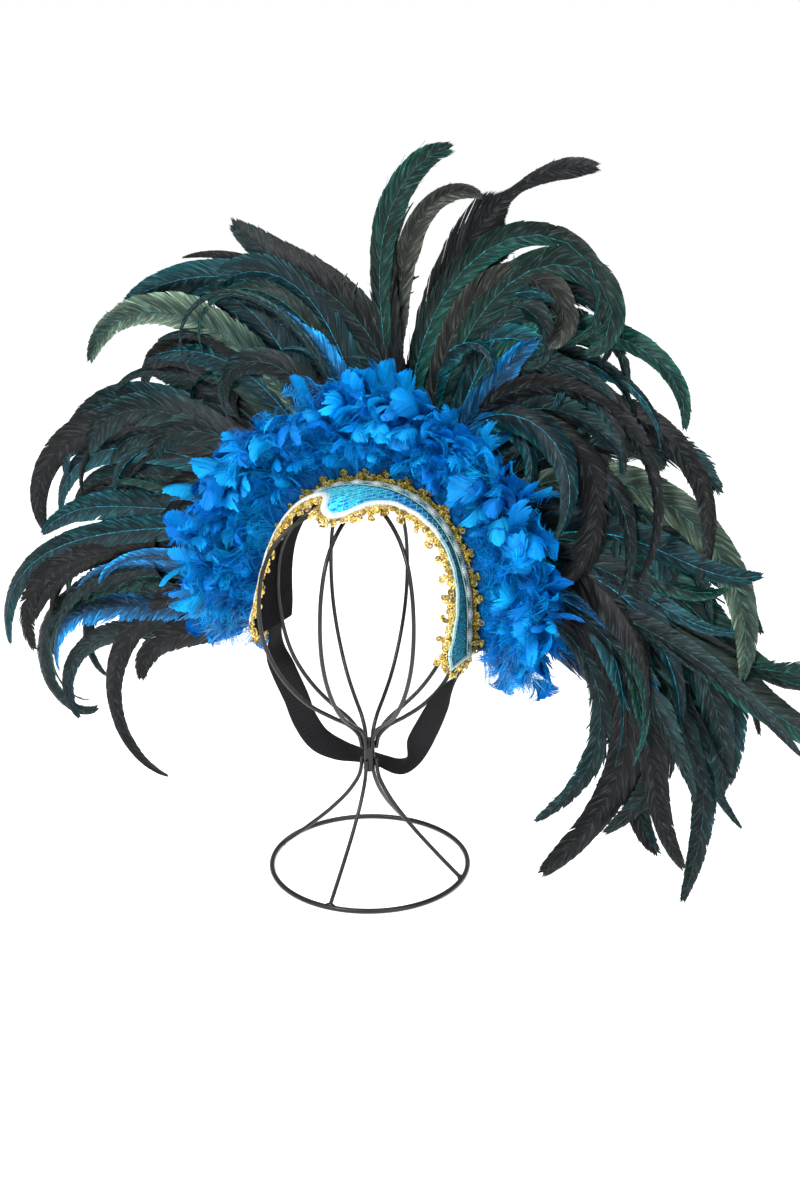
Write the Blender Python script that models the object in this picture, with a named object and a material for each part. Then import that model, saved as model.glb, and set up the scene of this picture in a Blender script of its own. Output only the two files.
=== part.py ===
"""Showgirl feather headdress resting on a plain wire hat stand.

The frame: the origin is the centre of the stand's floor ring, on the floor.
+Z is up, the headdress looks along -Y, and +X is the viewer's right.
Lengths are metres, written as millimetres times MM.
"""
import math

import bmesh
import bpy
import numpy as np

MM = 0.001
FORWARD = np.array([0, -1.0, 0])
GAP = 0.3 * MM
# Chords of an arch dip below its curve, so what lies along it starts higher
ARCH_GAP = 0.6 * MM

# Wire stand
RING_WIRE_RADIUS = 2.0 * MM
RING_WIRE_SIDES = 6
RIB_WIRE_RADIUS = 1.6 * MM
RIB_WIRE_SIDES = 5
RING_RADIUS = 78.0 * MM
RING_STEPS = 32
RIB_COUNT = 8
RIB_TURN = 4.0
WAIST_LOW = 82.0 * MM
WAIST_HIGH = 108.0 * MM
WAIST_RADIUS = 6.3 * MM
TOP_WELD_RADIUS = 7.0 * MM
TOP_WELD_LOW = 299.5 * MM
TOP_WELD_HIGH = 303.6 * MM
# A rib's distance from the axis at each height: the front ribs, the flatter
# back ribs, and the two side ribs that the headband presses inwards
RIB_PROFILE = (
    # height, front, back, pressed (mm)
    (102, 6.0, 6.0, 6.0),
    (112, 8.0, 8.0, 8.0),
    (121, 15.0, 14.5, 15.0),
    (131, 30.0, 28.0, 29.0),
    (143, 47.0, 43.0, 44.0),
    (167, 68.0, 62.0, 63.0),
    (200, 83.0, 76.5, 73.5),
    (231, 86.0, 79.5, 75.5),
    (255, 82.0, 76.0, 71.5),
    (272, 74.0, 68.0, 63.0),
    (284, 62.0, 57.0, 52.0),
    (293, 45.0, 42.0, 38.0),
    (299, 24.0, 23.0, 20.0),
    (301.5, 3.0, 3.0, 3.0),
)
# Which column of the profile each rib takes, counted from the right side rib
RIB_SHAPES = (3, 2, 2, 2, 3, 1, 1, 1)
LEG_PROFILE = (
    # height, radius (mm)
    (2, 78.0),
    (22, 55.0),
    (44, 32.0),
    (64, 15.5),
    (78, 8.0),
    (92, 6.0),
)

# Headband arch, seen from the front: a superellipse with straight ends.
# These are the sizes of the cover's outer face.
ARCH_HALF_WIDTH = 82.5 * MM
ARCH_RISE = 91.0 * MM
ARCH_SPRING_Z = 217.0 * MM
ARCH_POWER = 2.3
ARCH_FOOT_Z = 190.0 * MM
ARCH_STEPS = 33
COVER_THICKNESS = 2.0 * MM
LINING_THICKNESS = 1.6 * MM
BAND_DIVISIONS = 2
# The band's edges, front to back, against the distance from the top of the
# arch (mm); the first three rows are the widow's peak
BAND_EDGES = (
    # from_top, front, rear_trim, rear
    (0, -58, 12, 36),
    (10, -49, 12, 36),
    (24, -22, 11, 34),
    (40, -15, 10, 32),
    (60, -12, 8, 29),
    (80, -12, 6, 26),
    (100, -15, 4, 24),
    (120, -20, 4, 24),
    (140, -28, 4, 24),
    (155, -35, 4, 24),
    (167, -32, 4, 22),
)
LINING_SETBACK = 1.5 * MM
PEAK_DROP = 8.0 * MM
PEAK_START_Y = -20.0 * MM
PEAK_LENGTH = 38.0 * MM
REAR_LIFT = 0.06

# Trims
BRAID_WIDTH = 3.6 * MM
BRAID_HEIGHT = 2.0 * MM
BRAID_STEP = 9.0 * MM
LACE_THICKNESS = 1.2 * MM
LACE_DEPTH = 9.0 * MM
LACE_NOTCH = 5.5 * MM
SCALLOP_PITCH = 17.0 * MM
SCALLOP_POINTS = 4
LACE_CLEARANCE = 1.3 * MM
LACE_SLOPE_RUN = 4.0 * MM
# The front lace's direction: forwards, and inwards at the sides and the peak
LACE_FORWARD = 0.53
LACE_INWARD_SIDE = 0.85
LACE_INWARD_PEAK = 0.15
LACE_PEAK_REACH = 34.0 * MM

# Blue boa: locks on a core that runs behind the rear trim
BOA_CORE_RADIUS = 4.4 * MM
BOA_CORE_HEIGHT = 10.4 * MM
BOA_LOCK_ROOT = 9.6 * MM
BOA_CORE_BEHIND_TRIM = 10.6 * MM
BOA_CORE_STEPS = 24
BOA_SEED = 11
BOA_ROWS = (
    # lean_deg towards the front, length_mm, width_mm, count
    (62, 50, 30, 15),
    (37, 66, 35, 17),
    (16, 77, 37, 19),
)
BOA_LOCK_THICKNESS = 5.0 * MM
BOA_SIDE_FULLNESS = 0.22
BOA_END_MARGIN = 5.0 * MM
# Beyond this part of the arch the locks hang down over the boa's ends
BOA_FOOT_PART = 0.86
BOA_FOOT_DROP = 0.75
BOA_FOOT_LEAN = 0.6

# Coque fan: a backing strip behind the boa, and long tail feathers
BACKING_START = 15.6 * MM
BACKING_DEPTH = 3.6 * MM
BACKING_HEIGHT = 11.0 * MM
FEATHER_THICKNESS = 2.6 * MM
FEATHER_STATIONS = 7
FEATHER_TWIST_TIP = 12.0
FEATHER_SEAT_OUT = 4.0 * MM
LAYER_FIRST = 17.7 * MM
LAYER_STEP = 0.5 * MM
LAYER_SPREAD = 2.0 * MM
LAYER_SHIFT = 0.11 * MM
SPREAD_PART = 0.3
FEATHERS = (
    # seat: distance along the arch from its top, + to the right (mm)
    # layer: 0 in front, 4 at the back
    # heading: the direction at the root, 0 = +X, 90 = up (degrees)
    # bend, curl: turning spread along the feather, and near its tip
    # sweep: how far the tip leans back, or forward where negative (mm)
    # seat, layer, length, heading, bend, curl, width, sweep
    (-140, 0, 335, 177, 100, 80, 15, 0),
    (-135, 3, 305, 221, -70, 170, 16, 0),
    (-130, 1, 285, 221, -90, 170, 18, 0),
    (-120, 4, 395, 198, -20, 230, 20, 0),
    (-110, 2, 330, 195, -30, 150, 21, 0),
    (-100, 0, 360, 181, 20, 80, 16, 0),
    (-95, 3, 255, 178, 5, 40, 21, 0),
    (-85, 4, 245, 178, -15, 80, 20, 0),
    (-75, 2, 285, 160, 30, 80, 21, 0),
    (-70, 1, 335, 151, 50, 100, 23, 0),
    (-65, 0, 240, 150, 20, 90, 21, 0),
    (-60, 3, 295, 148, 40, 90, 25, 0),
    (-50, 2, 230, 137, 5, 150, 23, 0),
    (-45, 4, 210, 147, -50, 100, 21, 0),
    (-40, 1, 290, 118, 65, 70, 25, 0),
    (-30, 3, 205, 127, -15, 100, 21, 0),
    (-25, 0, 285, 92, 100, 170, 10, -10),
    (-20, 4, 305, 84, 140, -10, 20, 0),
    (-15, 2, 220, 93, 55, 70, 21, 0),
    (-8, 0, 250, 58, 165, -80, 25, 10),
    (0, 2, 265, 88, 20, -110, 23, 0),
    (5, 4, 240, 86, 20, -120, 18, 0),
    (10, 1, 310, 92, -40, -70, 31, 0),
    (15, 3, 245, 84, -10, -50, 30, 0),
    (22, 0, 335, 99, -90, -170, 20, -20),
    (30, 2, 265, 85, -35, -220, 23, -20),
    (34, 1, 300, 86, -55, -190, 18, -20),
    (37, 3, 210, 75, -10, -60, 21, 0),
    (41, 0, 240, 71, -5, -140, 16, 0),
    (43, 4, 260, 104, -175, -10, 31, -30),
    (49, 1, 295, 94, -130, -60, 21, -10),
    (52, 3, 215, 78, -115, -40, 20, 0),
    (56, 0, 320, 99, -225, 10, 13, -40),
    (60, 4, 315, 81, -175, -10, 21, -35),
    (70, 0, 220, 55, -85, -60, 23, 0),
    (76, 3, 305, 49, -130, -20, 23, -25),
    (94, 4, 320, 42, -165, 30, 23, -25),
    (100, 2, 280, 40, -155, 140, 21, -25),
    (105, 0, 290, 31, -135, 10, 23, -35),
    (109, 3, 265, 29, -160, 80, 21, -30),
    (113, 1, 322, 25, -130, 150, 20, -45),
    (117, 4, 335, 23, -160, 40, 20, -50),
    (121, 0, 265, 12, -60, 20, 13, -55),
    (125, 2, 295, 35, -185, 10, 21, -35),
    (128, 3, 275, 28, -160, 100, 10, -35),
    (132, 1, 270, 28, -190, 130, 18, -35),
    (136, 0, 295, 26, -210, 50, 20, -30),
    (140, 4, 165, -19, -5, -90, 16, -20),
)

# Chin strap: a flat elastic, its middle line from the left end to the right.
# turn is the angle of its width away from front-to-back.
STRAP_WIDTH = 20.0 * MM
STRAP_THICKNESS = 1.0 * MM
STRAP_STEPS = 34
STRAP_ROUTE = (
    # x, y, z (mm), turn (degrees)
    (-79.4, -4, 191.2, 0),
    (-80, -4, 181, 0),
    (-80, -4, 171, 15),
    (-74, -2, 153, 50),
    (-66, 2, 131, 60),
    (-60, 6, 110, 60),
    (-50, 10, 94, 45),
    (-35, 15, 86, 25),
    (-15, 20, 82.5, 5),
    (0, 22, 80.5, 0),
    (10, 21, 80, 5),
    (22, 17, 84, 25),
    (31, 12, 95, 60),
    (39, 8, 109, 85),
    (48, 3, 125, 80),
    (60, -4, 146, 65),
    (70, -8, 162, 40),
    (78, -10, 176, 8),
    (79.4, -10, 191.2, 0),
)


def smooth_table(places, values):
    """A smooth curve through a short table (Catmull-Rom between its rows)."""
    places = np.asarray(places, float)
    values = np.asarray(values, float)
    slopes = np.gradient(values, places, axis=0)

    def read(place):
        place = np.clip(place, places[0], places[-1])
        low = np.clip(np.searchsorted(places, place, side="right") - 1, 0, len(places) - 2)
        span = places[low + 1] - places[low]
        part = (place - places[low]) / span
        rise = 3 * part**2 - 2 * part**3
        start = (part - 2 * part**2 + part**3) * span
        end = (part**3 - part**2) * span
        shape = (lambda a: a[..., None]) if values.ndim > 1 else (lambda a: a)
        return (values[low] * shape(1 - rise) + values[low + 1] * shape(rise)
                + slopes[low] * shape(start) + slopes[low + 1] * shape(end))

    return read


def remove_everything():
    for item in list(bpy.data.objects):
        bpy.data.objects.remove(item, do_unlink=True)


def material(name, colour, roughness, metallic=0.0):
    made = bpy.data.materials.new(name)
    made.use_nodes = True
    shader = made.node_tree.nodes["Principled BSDF"]
    shader.inputs["Base Color"].default_value = (*colour, 1.0)
    shader.inputs["Roughness"].default_value = roughness
    shader.inputs["Metallic"].default_value = metallic
    return made


def loft(name, rings, finish, closed_loop=False, tip=None, fold=None):
    """One closed body through rings of equal point count.

    The ends are capped, or joined to each other in a closed loop, or drawn to
    a tip point. With a fold, each ring runs out and back, and the faces are
    split along the same diagonal on both sides of that point.
    """
    rings = [np.asarray(ring, float) for ring in rings]
    sides = len(rings[0])
    body = bmesh.new()
    rows = [[body.verts.new(point) for point in ring] for ring in rings]
    count = len(rows)
    for row in range(count if closed_loop else count - 1):
        one, two = rows[row], rows[(row + 1) % count]
        for side in range(sides):
            after = (side + 1) % sides
            near, far, across, back = one[side], one[after], two[after], two[side]
            if fold is None:
                body.faces.new((near, far, across, back))
            elif side < fold:
                body.faces.new((near, far, across))
                body.faces.new((near, across, back))
            else:
                body.faces.new((near, far, back))
                body.faces.new((far, across, back))
    if not closed_loop:
        body.faces.new(list(reversed(rows[0])))
        if tip is None:
            body.faces.new(rows[-1])
        else:
            end = body.verts.new(tip)
            for side in range(sides):
                body.faces.new((rows[-1][side], rows[-1][(side + 1) % sides], end))
    bmesh.ops.recalc_face_normals(body, faces=body.faces)
    mesh = bpy.data.meshes.new(name)
    body.to_mesh(mesh)
    body.free()
    mesh.materials.append(finish)
    made = bpy.data.objects.new(name, mesh)
    bpy.context.scene.collection.objects.link(made)
    return made


def fuse(base, pieces):
    """Union the pieces into the base; they stay in the file as guides."""
    group = bpy.data.collections.new(base.name + "_pieces")
    bpy.context.scene.collection.children.link(group)
    for piece in pieces:
        for owner in list(piece.users_collection):
            owner.objects.unlink(piece)
        group.objects.link(piece)
        piece.hide_render = True
        piece.display_type = "WIRE"
    union = base.modifiers.new("fuse", "BOOLEAN")
    union.operation = "UNION"
    union.operand_type = "COLLECTION"
    union.collection = group
    union.solver = "EXACT"
    union.use_self = True
    return base


def round_section(centre, first, second, radius, sides, turn=0.0):
    angles = turn + np.arange(sides) * 2 * math.pi / sides
    return [centre + radius * (math.cos(a) * first + math.sin(a) * second) for a in angles]


# Wire stand

def upright_wire(name, azimuth, profile, finish):
    """A wire in the upright plane at an azimuth, along (height, radius) rows."""
    out = np.array([math.cos(azimuth), math.sin(azimuth), 0.0])
    across = np.array([-math.sin(azimuth), math.cos(azimuth), 0.0])
    points = [out * radius * MM + np.array([0, 0, height * MM]) for height, radius in profile]
    tangents = np.gradient(np.array(points), axis=0)
    rings = []
    for point, tangent in zip(points, tangents):
        tangent = tangent / np.linalg.norm(tangent)
        rings.append(round_section(point, across, np.cross(tangent, across), RIB_WIRE_RADIUS, RIB_WIRE_SIDES))
    return loft(name, rings, finish)


def make_stand():
    paint = material("black_wire_paint", (0.012, 0.012, 0.013), 0.35)
    rings = []
    for step in range(RING_STEPS):
        angle = step * 2 * math.pi / RING_STEPS
        out = np.array([math.cos(angle), math.sin(angle), 0.0])
        flat_down = math.pi / RING_WIRE_SIDES
        flat_radius = RING_WIRE_RADIUS / math.cos(flat_down)
        centre = out * RING_RADIUS + np.array([0, 0, RING_WIRE_RADIUS])
        rings.append(round_section(centre, np.array([0, 0, 1.0]), out, flat_radius, RING_WIRE_SIDES, flat_down))
    stand = loft("wire_stand", rings, paint, closed_loop=True)

    wires = []
    for number in range(RIB_COUNT):
        degrees = RIB_TURN + number * 360 / RIB_COUNT
        profile = [(row[0], row[RIB_SHAPES[number]]) for row in RIB_PROFILE]
        wires.append(upright_wire("rib_%d" % number, math.radians(degrees), profile, paint))
    for number in range(RIB_COUNT // 2):
        degrees = RIB_TURN + number * 720 / RIB_COUNT
        wires.append(upright_wire("leg_%d" % number, math.radians(degrees), LEG_PROFILE, paint))
    for name, low, high, radius in (
            ("waist_weld", WAIST_LOW, WAIST_HIGH, WAIST_RADIUS),
            ("top_weld", TOP_WELD_LOW, TOP_WELD_HIGH, TOP_WELD_RADIUS)):
        ends = [round_section(np.array([0, 0, z]), np.array([1.0, 0, 0]), np.array([0, 1.0, 0]), radius, 12, 0.1)
                for z in (low, high)]
        wires.append(loft(name, ends, paint))
    return fuse(stand, wires)


# Headband: a surface named by the distance along the arch and by y

def arch_table():
    """The cover's outer face from its left foot to its right foot.

    The stations are evenly spaced, and everything on the arch reads straight
    lines between them, so that pieces at one distance stay parallel.
    """
    angles = np.linspace(0, math.pi, 361)
    x = ARCH_HALF_WIDTH * np.sign(np.cos(angles)) * np.abs(np.cos(angles)) ** (2 / ARCH_POWER)
    z = ARCH_SPRING_Z + ARCH_RISE * np.abs(np.sin(angles)) ** (2 / ARCH_POWER)
    x = np.concatenate([[ARCH_HALF_WIDTH], x, [-ARCH_HALF_WIDTH]])[::-1]
    z = np.concatenate([[ARCH_FOOT_Z], z, [ARCH_FOOT_Z]])[::-1]
    along = np.concatenate([[0], np.cumsum(np.hypot(np.diff(x), np.diff(z)))])
    along = along - along[-1] / 2
    stations = np.linspace(along[0], along[-1], ARCH_STEPS)
    return stations, np.interp(stations, along, x), np.interp(stations, along, z)


ARCH_ALONG, ARCH_X, ARCH_Z = arch_table()
ARCH_END = ARCH_ALONG[-1]
read_edges = smooth_table([row[0] * MM for row in BAND_EDGES],
                          [[place * MM for place in row[1:]] for row in BAND_EDGES])
ARCH_FRONT, ARCH_REAR_TRIM, ARCH_REAR = read_edges(np.abs(ARCH_ALONG)).T


def front_edge(seat):
    return float(np.interp(seat, ARCH_ALONG, ARCH_FRONT))


def rear_trim(seat):
    return float(np.interp(seat, ARCH_ALONG, ARCH_REAR_TRIM))


def rear_edge(seat):
    return float(np.interp(seat, ARCH_ALONG, ARCH_REAR))


def arch_point(seat, y, out):
    """A point over the cover's outer face, out metres proud of it."""
    probe = 1.5 * MM
    x, z = (float(np.interp(seat, ARCH_ALONG, line)) for line in (ARCH_X, ARCH_Z))
    ahead = np.array([np.interp(seat + probe, ARCH_ALONG, line) for line in (ARCH_X, ARCH_Z)])
    behind = np.array([np.interp(seat - probe, ARCH_ALONG, line) for line in (ARCH_X, ARCH_Z)])
    run = (ahead - behind) / np.linalg.norm(ahead - behind)
    normal = np.array([-run[1], 0.0, run[0]])
    height = max(0.0, (z - ARCH_SPRING_Z) / ARCH_RISE) ** 2
    drop = PEAK_DROP * (max(0.0, PEAK_START_Y - y) / PEAK_LENGTH) ** 2
    lift = REAR_LIFT * max(0.0, y - PEAK_START_Y)
    place = np.array([x, y, z + height * (lift - drop)])
    return place + normal * out, normal


def band_row(seat, out, setback):
    """Points across the band from front to rear, its ends drawn back."""
    row = [arch_point(seat, y, out)[0]
           for y in np.linspace(front_edge(seat), rear_edge(seat), BAND_DIVISIONS + 1)]
    for end, inner in ((0, 1), (-1, -2)):
        run = row[inner] - row[end]
        row[end] = row[end] + run * setback / np.linalg.norm(run)
    return row


def band_shell(name, inner, outer, setback, finish):
    """A wall that follows the arch between two distances from its outer face."""
    seats = np.array(ARCH_ALONG)
    seats[0] += setback
    seats[-1] -= setback
    rings = [band_row(seat, outer, setback) + band_row(seat, inner, setback)[::-1] for seat in seats]
    return loft(name, rings, finish, fold=BAND_DIVISIONS + 1)


def make_headband():
    cover_cloth = material("teal_cover_cloth", (0.01, 0.16, 0.24), 0.45)
    felt = material("black_felt", (0.012, 0.011, 0.014), 0.95)
    cover = band_shell("headband_cover", -COVER_THICKNESS, 0.0, 0.0, cover_cloth)
    under = -COVER_THICKNESS - GAP
    lining = band_shell("headband_lining", under - LINING_THICKNESS, under, LINING_SETBACK, felt)
    return cover, lining


# Trims: both follow the closed outline of the cover's face

def outline(step):
    """Places round the cover's face: (seat, y, direction across the face).

    It runs along the front edge from left to right, down over the right end,
    back along the rear trim line and over the left end.
    """
    inset = BRAID_WIDTH / 2
    end = ARCH_END - inset
    count = 2 * int(ARCH_END / step) + 1
    places = [(seat, front_edge(seat) + inset, "front") for seat in np.linspace(-end, end, count)]
    across = int((rear_trim(end) - front_edge(end)) / step)
    ends = np.linspace(front_edge(end) + inset, rear_trim(end), across + 1)[1:-1]
    places += [(end, y, "foot") for y in ends]
    places += [(seat, rear_trim(seat), "rear") for seat in np.linspace(end, -end, count)]
    places += [(-end, y, "foot") for y in ends[::-1]]
    return places


def make_braid():
    cord = material("pale_mint_cord", (0.62, 0.82, 0.78), 0.5)
    places = outline(BRAID_STEP)
    points = np.array([arch_point(seat, y, ARCH_GAP)[0] for seat, y, _ in places])
    normals = np.array([arch_point(seat, y, ARCH_GAP)[1] for seat, y, _ in places])
    runs = np.roll(points, -1, axis=0) - np.roll(points, 1, axis=0)
    rings = []
    for point, normal, run in zip(points, normals, runs):
        side = np.cross(run / np.linalg.norm(run), normal)
        side = side / np.linalg.norm(side)
        half = BRAID_WIDTH / 2
        rings.append([point - side * half, point - side * half * 0.5 + normal * BRAID_HEIGHT,
                      point + side * half * 0.5 + normal * BRAID_HEIGHT, point + side * half])
    return loft("pale_braid", rings, cord, closed_loop=True)


def scallop_depth(travel):
    """The lace's depth along its run: rounded clusters with notches between."""
    phase = (travel / SCALLOP_PITCH) % 1.0
    return LACE_DEPTH - LACE_NOTCH * abs(2 * phase - 1) ** 2.5


def lace_strip(name, roots, directions, finish):
    """A scalloped wall whose foot follows roots and whose depth runs along
    directions."""
    roots, directions = np.array(roots), np.array(directions)
    steps = np.linalg.norm(np.diff(roots, axis=0), axis=1)
    travel = np.concatenate([[0], np.cumsum(steps)])
    whole = max(1, round(travel[-1] / SCALLOP_PITCH)) * SCALLOP_PITCH
    runs = np.gradient(roots, axis=0)
    rings = []
    for root, direction, run, place in zip(roots, directions, runs, travel * whole / travel[-1]):
        side = np.cross(run / np.linalg.norm(run), direction)
        side = side / np.linalg.norm(side) * LACE_THICKNESS / 2
        tip = root + direction * scallop_depth(place)
        rings.append([root - side, tip - side, tip + side, root + side])
    return loft(name, rings, finish)


def make_lace():
    gold = material("gold_lace", (0.72, 0.50, 0.16), 0.35, 1.0)
    # An odd count puts one point on the peak's tip
    count = 2 * int(ARCH_END / SCALLOP_PITCH * SCALLOP_POINTS) + 1
    end = ARCH_END - 0.5 * MM
    front_roots, front_ways, rear_roots, rear_ways = [], [], [], []
    for seat in np.linspace(-end, end, count):
        slopes = [(front_edge(seat) - front_edge(seat + run)) / run for run in (-LACE_SLOPE_RUN, LACE_SLOPE_RUN)]
        clearance = LACE_CLEARANCE * math.hypot(1, np.abs(slopes).max())
        point, normal = arch_point(seat, front_edge(seat) - clearance, -COVER_THICKNESS / 2)
        inward = LACE_INWARD_SIDE + (LACE_INWARD_PEAK - LACE_INWARD_SIDE) * math.exp(-(seat / LACE_PEAK_REACH) ** 2)
        way = -inward * normal + LACE_FORWARD * FORWARD
        front_roots.append(point)
        front_ways.append(way / np.linalg.norm(way))
        y = rear_trim(seat) + BRAID_WIDTH / 2 + LACE_CLEARANCE
        point, normal = arch_point(seat, y, ARCH_GAP)
        rear_roots.append(point)
        rear_ways.append(normal)
    front = lace_strip("gold_lace_front", front_roots, front_ways, gold)
    rear = lace_strip("gold_lace_rear", rear_roots, rear_ways, gold)
    feet = []
    for name, side in (("gold_lace_right_end", 1), ("gold_lace_left_end", -1)):
        seat = side * ARCH_END
        low, high = front_edge(seat), rear_trim(seat)
        count = int((high - low) / SCALLOP_PITCH * SCALLOP_POINTS)
        roots = [arch_point(seat, y, 0)[0] + np.array([-side * COVER_THICKNESS / 2, 0, -GAP])
                 for y in np.linspace(low, high, count)]
        feet.append(lace_strip(name, roots, [np.array([0, 0, -1.0])] * count, gold))
    return [front, rear, *feet]


# Blue boa

def leaf_body(name, start, way, lean, ridge, length, width, curl, finish):
    """A lock: a flat, pointed body that grows from start and curls over.

    Its raised middle line is on the side that faces along ridge.
    """
    across = np.cross(way, lean)
    across = across / np.linalg.norm(across)
    fall = np.cross(across, way)
    rings = []
    point = np.array(start, float)
    shapes = (0.25, 0.9, 0.9)
    for step, shape in enumerate(shapes):
        angle = curl * (step / len(shapes)) ** 1.5
        run = way * math.cos(angle) + fall * math.sin(angle)
        thick = np.cross(across, run)
        thick = thick if np.dot(np.cross(across, way), ridge) > 0 else -thick
        half, deep = width * shape / 2, BOA_LOCK_THICKNESS * (0.5 + 0.5 * shape)
        rings.append([point + across * half, point + thick * deep, point - across * half])
        point = point + run * length / len(shapes)
    return loft(name, rings, finish, tip=point)


def make_boa():
    blue = material("blue_boa_feathers", (0.0, 0.16, 0.62), 0.7)
    end = ARCH_END - BOA_END_MARGIN + 3 * MM
    rings = []
    for seat in np.linspace(-end, end, BOA_CORE_STEPS):
        y = rear_trim(seat) + BOA_CORE_BEHIND_TRIM
        point, normal = arch_point(seat, y, ARCH_GAP + BOA_CORE_HEIGHT / 2)
        tall = normal * BOA_CORE_HEIGHT / 2 / BOA_CORE_RADIUS
        rings.append(round_section(point, tall, np.array([0, 1.0, 0]), BOA_CORE_RADIUS, 8, math.pi / 8))
    core = loft("feather_boa", rings, blue)

    chance = np.random.default_rng(BOA_SEED)
    locks = []
    for row, (lean_deg, length, width, count) in enumerate(BOA_ROWS):
        for number in range(count):
            part = (number + 0.5) / count * 2 - 1
            seat = part * (end + 6 * MM) + chance.uniform(-3, 3) * MM
            seat = float(np.clip(seat, BOA_END_MARGIN - ARCH_END, ARCH_END - BOA_END_MARGIN))
            y = rear_trim(seat) + BOA_CORE_BEHIND_TRIM - 1 * MM
            point, normal = arch_point(seat, y, BOA_LOCK_ROOT)
            beyond = max(0.0, abs(part) - BOA_FOOT_PART) / (1 - BOA_FOOT_PART)
            lean = math.radians(lean_deg + chance.uniform(-9, 3))
            lean = lean * (1 + (BOA_FOOT_LEAN - 1) * beyond)
            way = normal * math.cos(lean) + FORWARD * math.sin(lean)
            way = way + np.array([0, 0, -BOA_FOOT_DROP]) * beyond
            way = way / np.linalg.norm(way)
            curl = math.radians(chance.uniform(-8, 60))
            size = chance.uniform(0.85, 1.08) * (1 + BOA_SIDE_FULLNESS * abs(part))
            locks.append(leaf_body("lock_%d_%d" % (row, number), point, way,
                                   0.3 * normal + FORWARD, 0.7 * normal + 0.5 * FORWARD,
                                   length * size * MM, width * size * MM, curl, blue))
    return fuse(core, locks)


# Coque fan

def feather_width(part):
    """The blade's width along the feather, as a share of its full width."""
    return min(1.0, 0.32 + 2.2 * part) * (1 - part**5) ** 0.7


def feather_line(seat, layer, length, heading, bend, curl, sweep):
    """Points and directions along a feather, from the root to the tip."""
    root = arch_point(seat, rear_trim(seat) + LAYER_FIRST + (layer - 2) * LAYER_STEP,
                      FEATHER_SEAT_OUT)[0]
    fine = np.linspace(0, 1, 97)
    turn = np.radians(heading + bend * fine + curl * fine**4)
    step = length / (len(fine) - 1)
    middle = (turn[1:] + turn[:-1]) / 2
    x = root[0] + np.concatenate([[0], np.cumsum(np.cos(middle))]) * step
    z = root[2] + np.concatenate([[0], np.cumsum(np.sin(middle))]) * step
    y = root[1] + sweep * fine**2 + layer * LAYER_SPREAD * np.minimum(1, fine / SPREAD_PART)
    return fine, np.stack([x, y, z], axis=1), turn


def feather_body(number, row, finish):
    seat, layer, length, heading, bend, curl, width, sweep = row
    fine, line, turn = feather_line(seat * MM, layer, length * MM, heading, bend, curl, sweep * MM)
    line = line + np.array([0, LAYER_SHIFT * (number % 7), 0])
    twist_side = 1 if number % 2 else -1
    rings = []
    back = np.array([0, 1.0, 0])
    for part in np.linspace(0, 0.94, FEATHER_STATIONS):
        index = int(round(part * (len(fine) - 1)))
        run = np.array([math.cos(turn[index]), 0, math.sin(turn[index])])
        twist = twist_side * math.radians(FEATHER_TWIST_TIP * part)
        side = np.cross(run, back) * math.cos(twist) + back * math.sin(twist)
        front = np.cross(run, side)
        half = width * MM * feather_width(part) / 2
        ridge = FEATHER_THICKNESS * min(1.0, 0.4 + 2 * part) * (1 - 0.2 * part)
        point = line[index]
        rings.append([point + side * half, point + front * ridge, point - side * half])
    return loft("feather_%02d" % number, rings, finish, tip=line[-1])


def make_fan():
    coque = material("coque_feathers", (0.008, 0.035, 0.035), 0.4)
    end = ARCH_END - 4 * MM
    rings = []
    for seat in np.linspace(-end, end, BOA_CORE_STEPS):
        low = rear_trim(seat) + BACKING_START
        high = low + BACKING_DEPTH
        rings.append([arch_point(seat, low, ARCH_GAP)[0], arch_point(seat, high, ARCH_GAP)[0],
                      arch_point(seat, high, BACKING_HEIGHT)[0],
                      arch_point(seat, low, BACKING_HEIGHT)[0]])
    backing = loft("coque_fan", rings, coque)
    feathers = [feather_body(number, row, coque) for number, row in enumerate(FEATHERS)]
    return fuse(backing, feathers)


# Chin strap

def make_strap():
    elastic = material("black_elastic", (0.014, 0.014, 0.016), 0.8)
    rows = np.array(STRAP_ROUTE, float)
    places = np.concatenate([[0], np.cumsum(np.linalg.norm(np.diff(rows[:, :3], axis=0), axis=1))])
    route = smooth_table(places, rows)
    line = route(np.linspace(0, places[-1], STRAP_STEPS))
    points, turns = line[:, :3] * MM, np.radians(line[:, 3])
    runs = np.gradient(points, axis=0)
    rings = []
    for point, run, turn in zip(points, runs, turns):
        run = run / np.linalg.norm(run)
        flat = np.array([0, 1.0, 0]) - run * run[1]
        flat = flat / np.linalg.norm(flat)
        stand = np.cross(run, flat)
        wide = flat * math.cos(turn) + stand * math.sin(turn)
        thin = np.cross(run, wide)
        half, deep = wide * STRAP_WIDTH / 2, thin * STRAP_THICKNESS / 2
        rings.append([point - half - deep, point + half - deep, point + half + deep, point - half + deep])
    return loft("chin_strap", rings, elastic)


def main():
    remove_everything()
    make_stand()
    make_headband()
    make_braid()
    make_lace()
    make_boa()
    make_fan()
    make_strap()


main()
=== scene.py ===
"""Showgirl feather headdress on a plain wire hat stand: looks, light, camera.

The frame is the model's own: metres, +Z up, the headdress looks along -Y.
"""
import math

import bpy
import numpy as np
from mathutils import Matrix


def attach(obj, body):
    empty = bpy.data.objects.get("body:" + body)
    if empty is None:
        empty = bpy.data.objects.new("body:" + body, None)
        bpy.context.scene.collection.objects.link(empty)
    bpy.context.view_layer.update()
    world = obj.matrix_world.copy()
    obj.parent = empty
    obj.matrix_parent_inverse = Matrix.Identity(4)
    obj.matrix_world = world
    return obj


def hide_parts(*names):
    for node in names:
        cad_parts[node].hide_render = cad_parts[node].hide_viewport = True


MM = 0.001
UP = np.array([0, 0, 1.0])
BACK = np.array([0, 1.0, 0])

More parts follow.
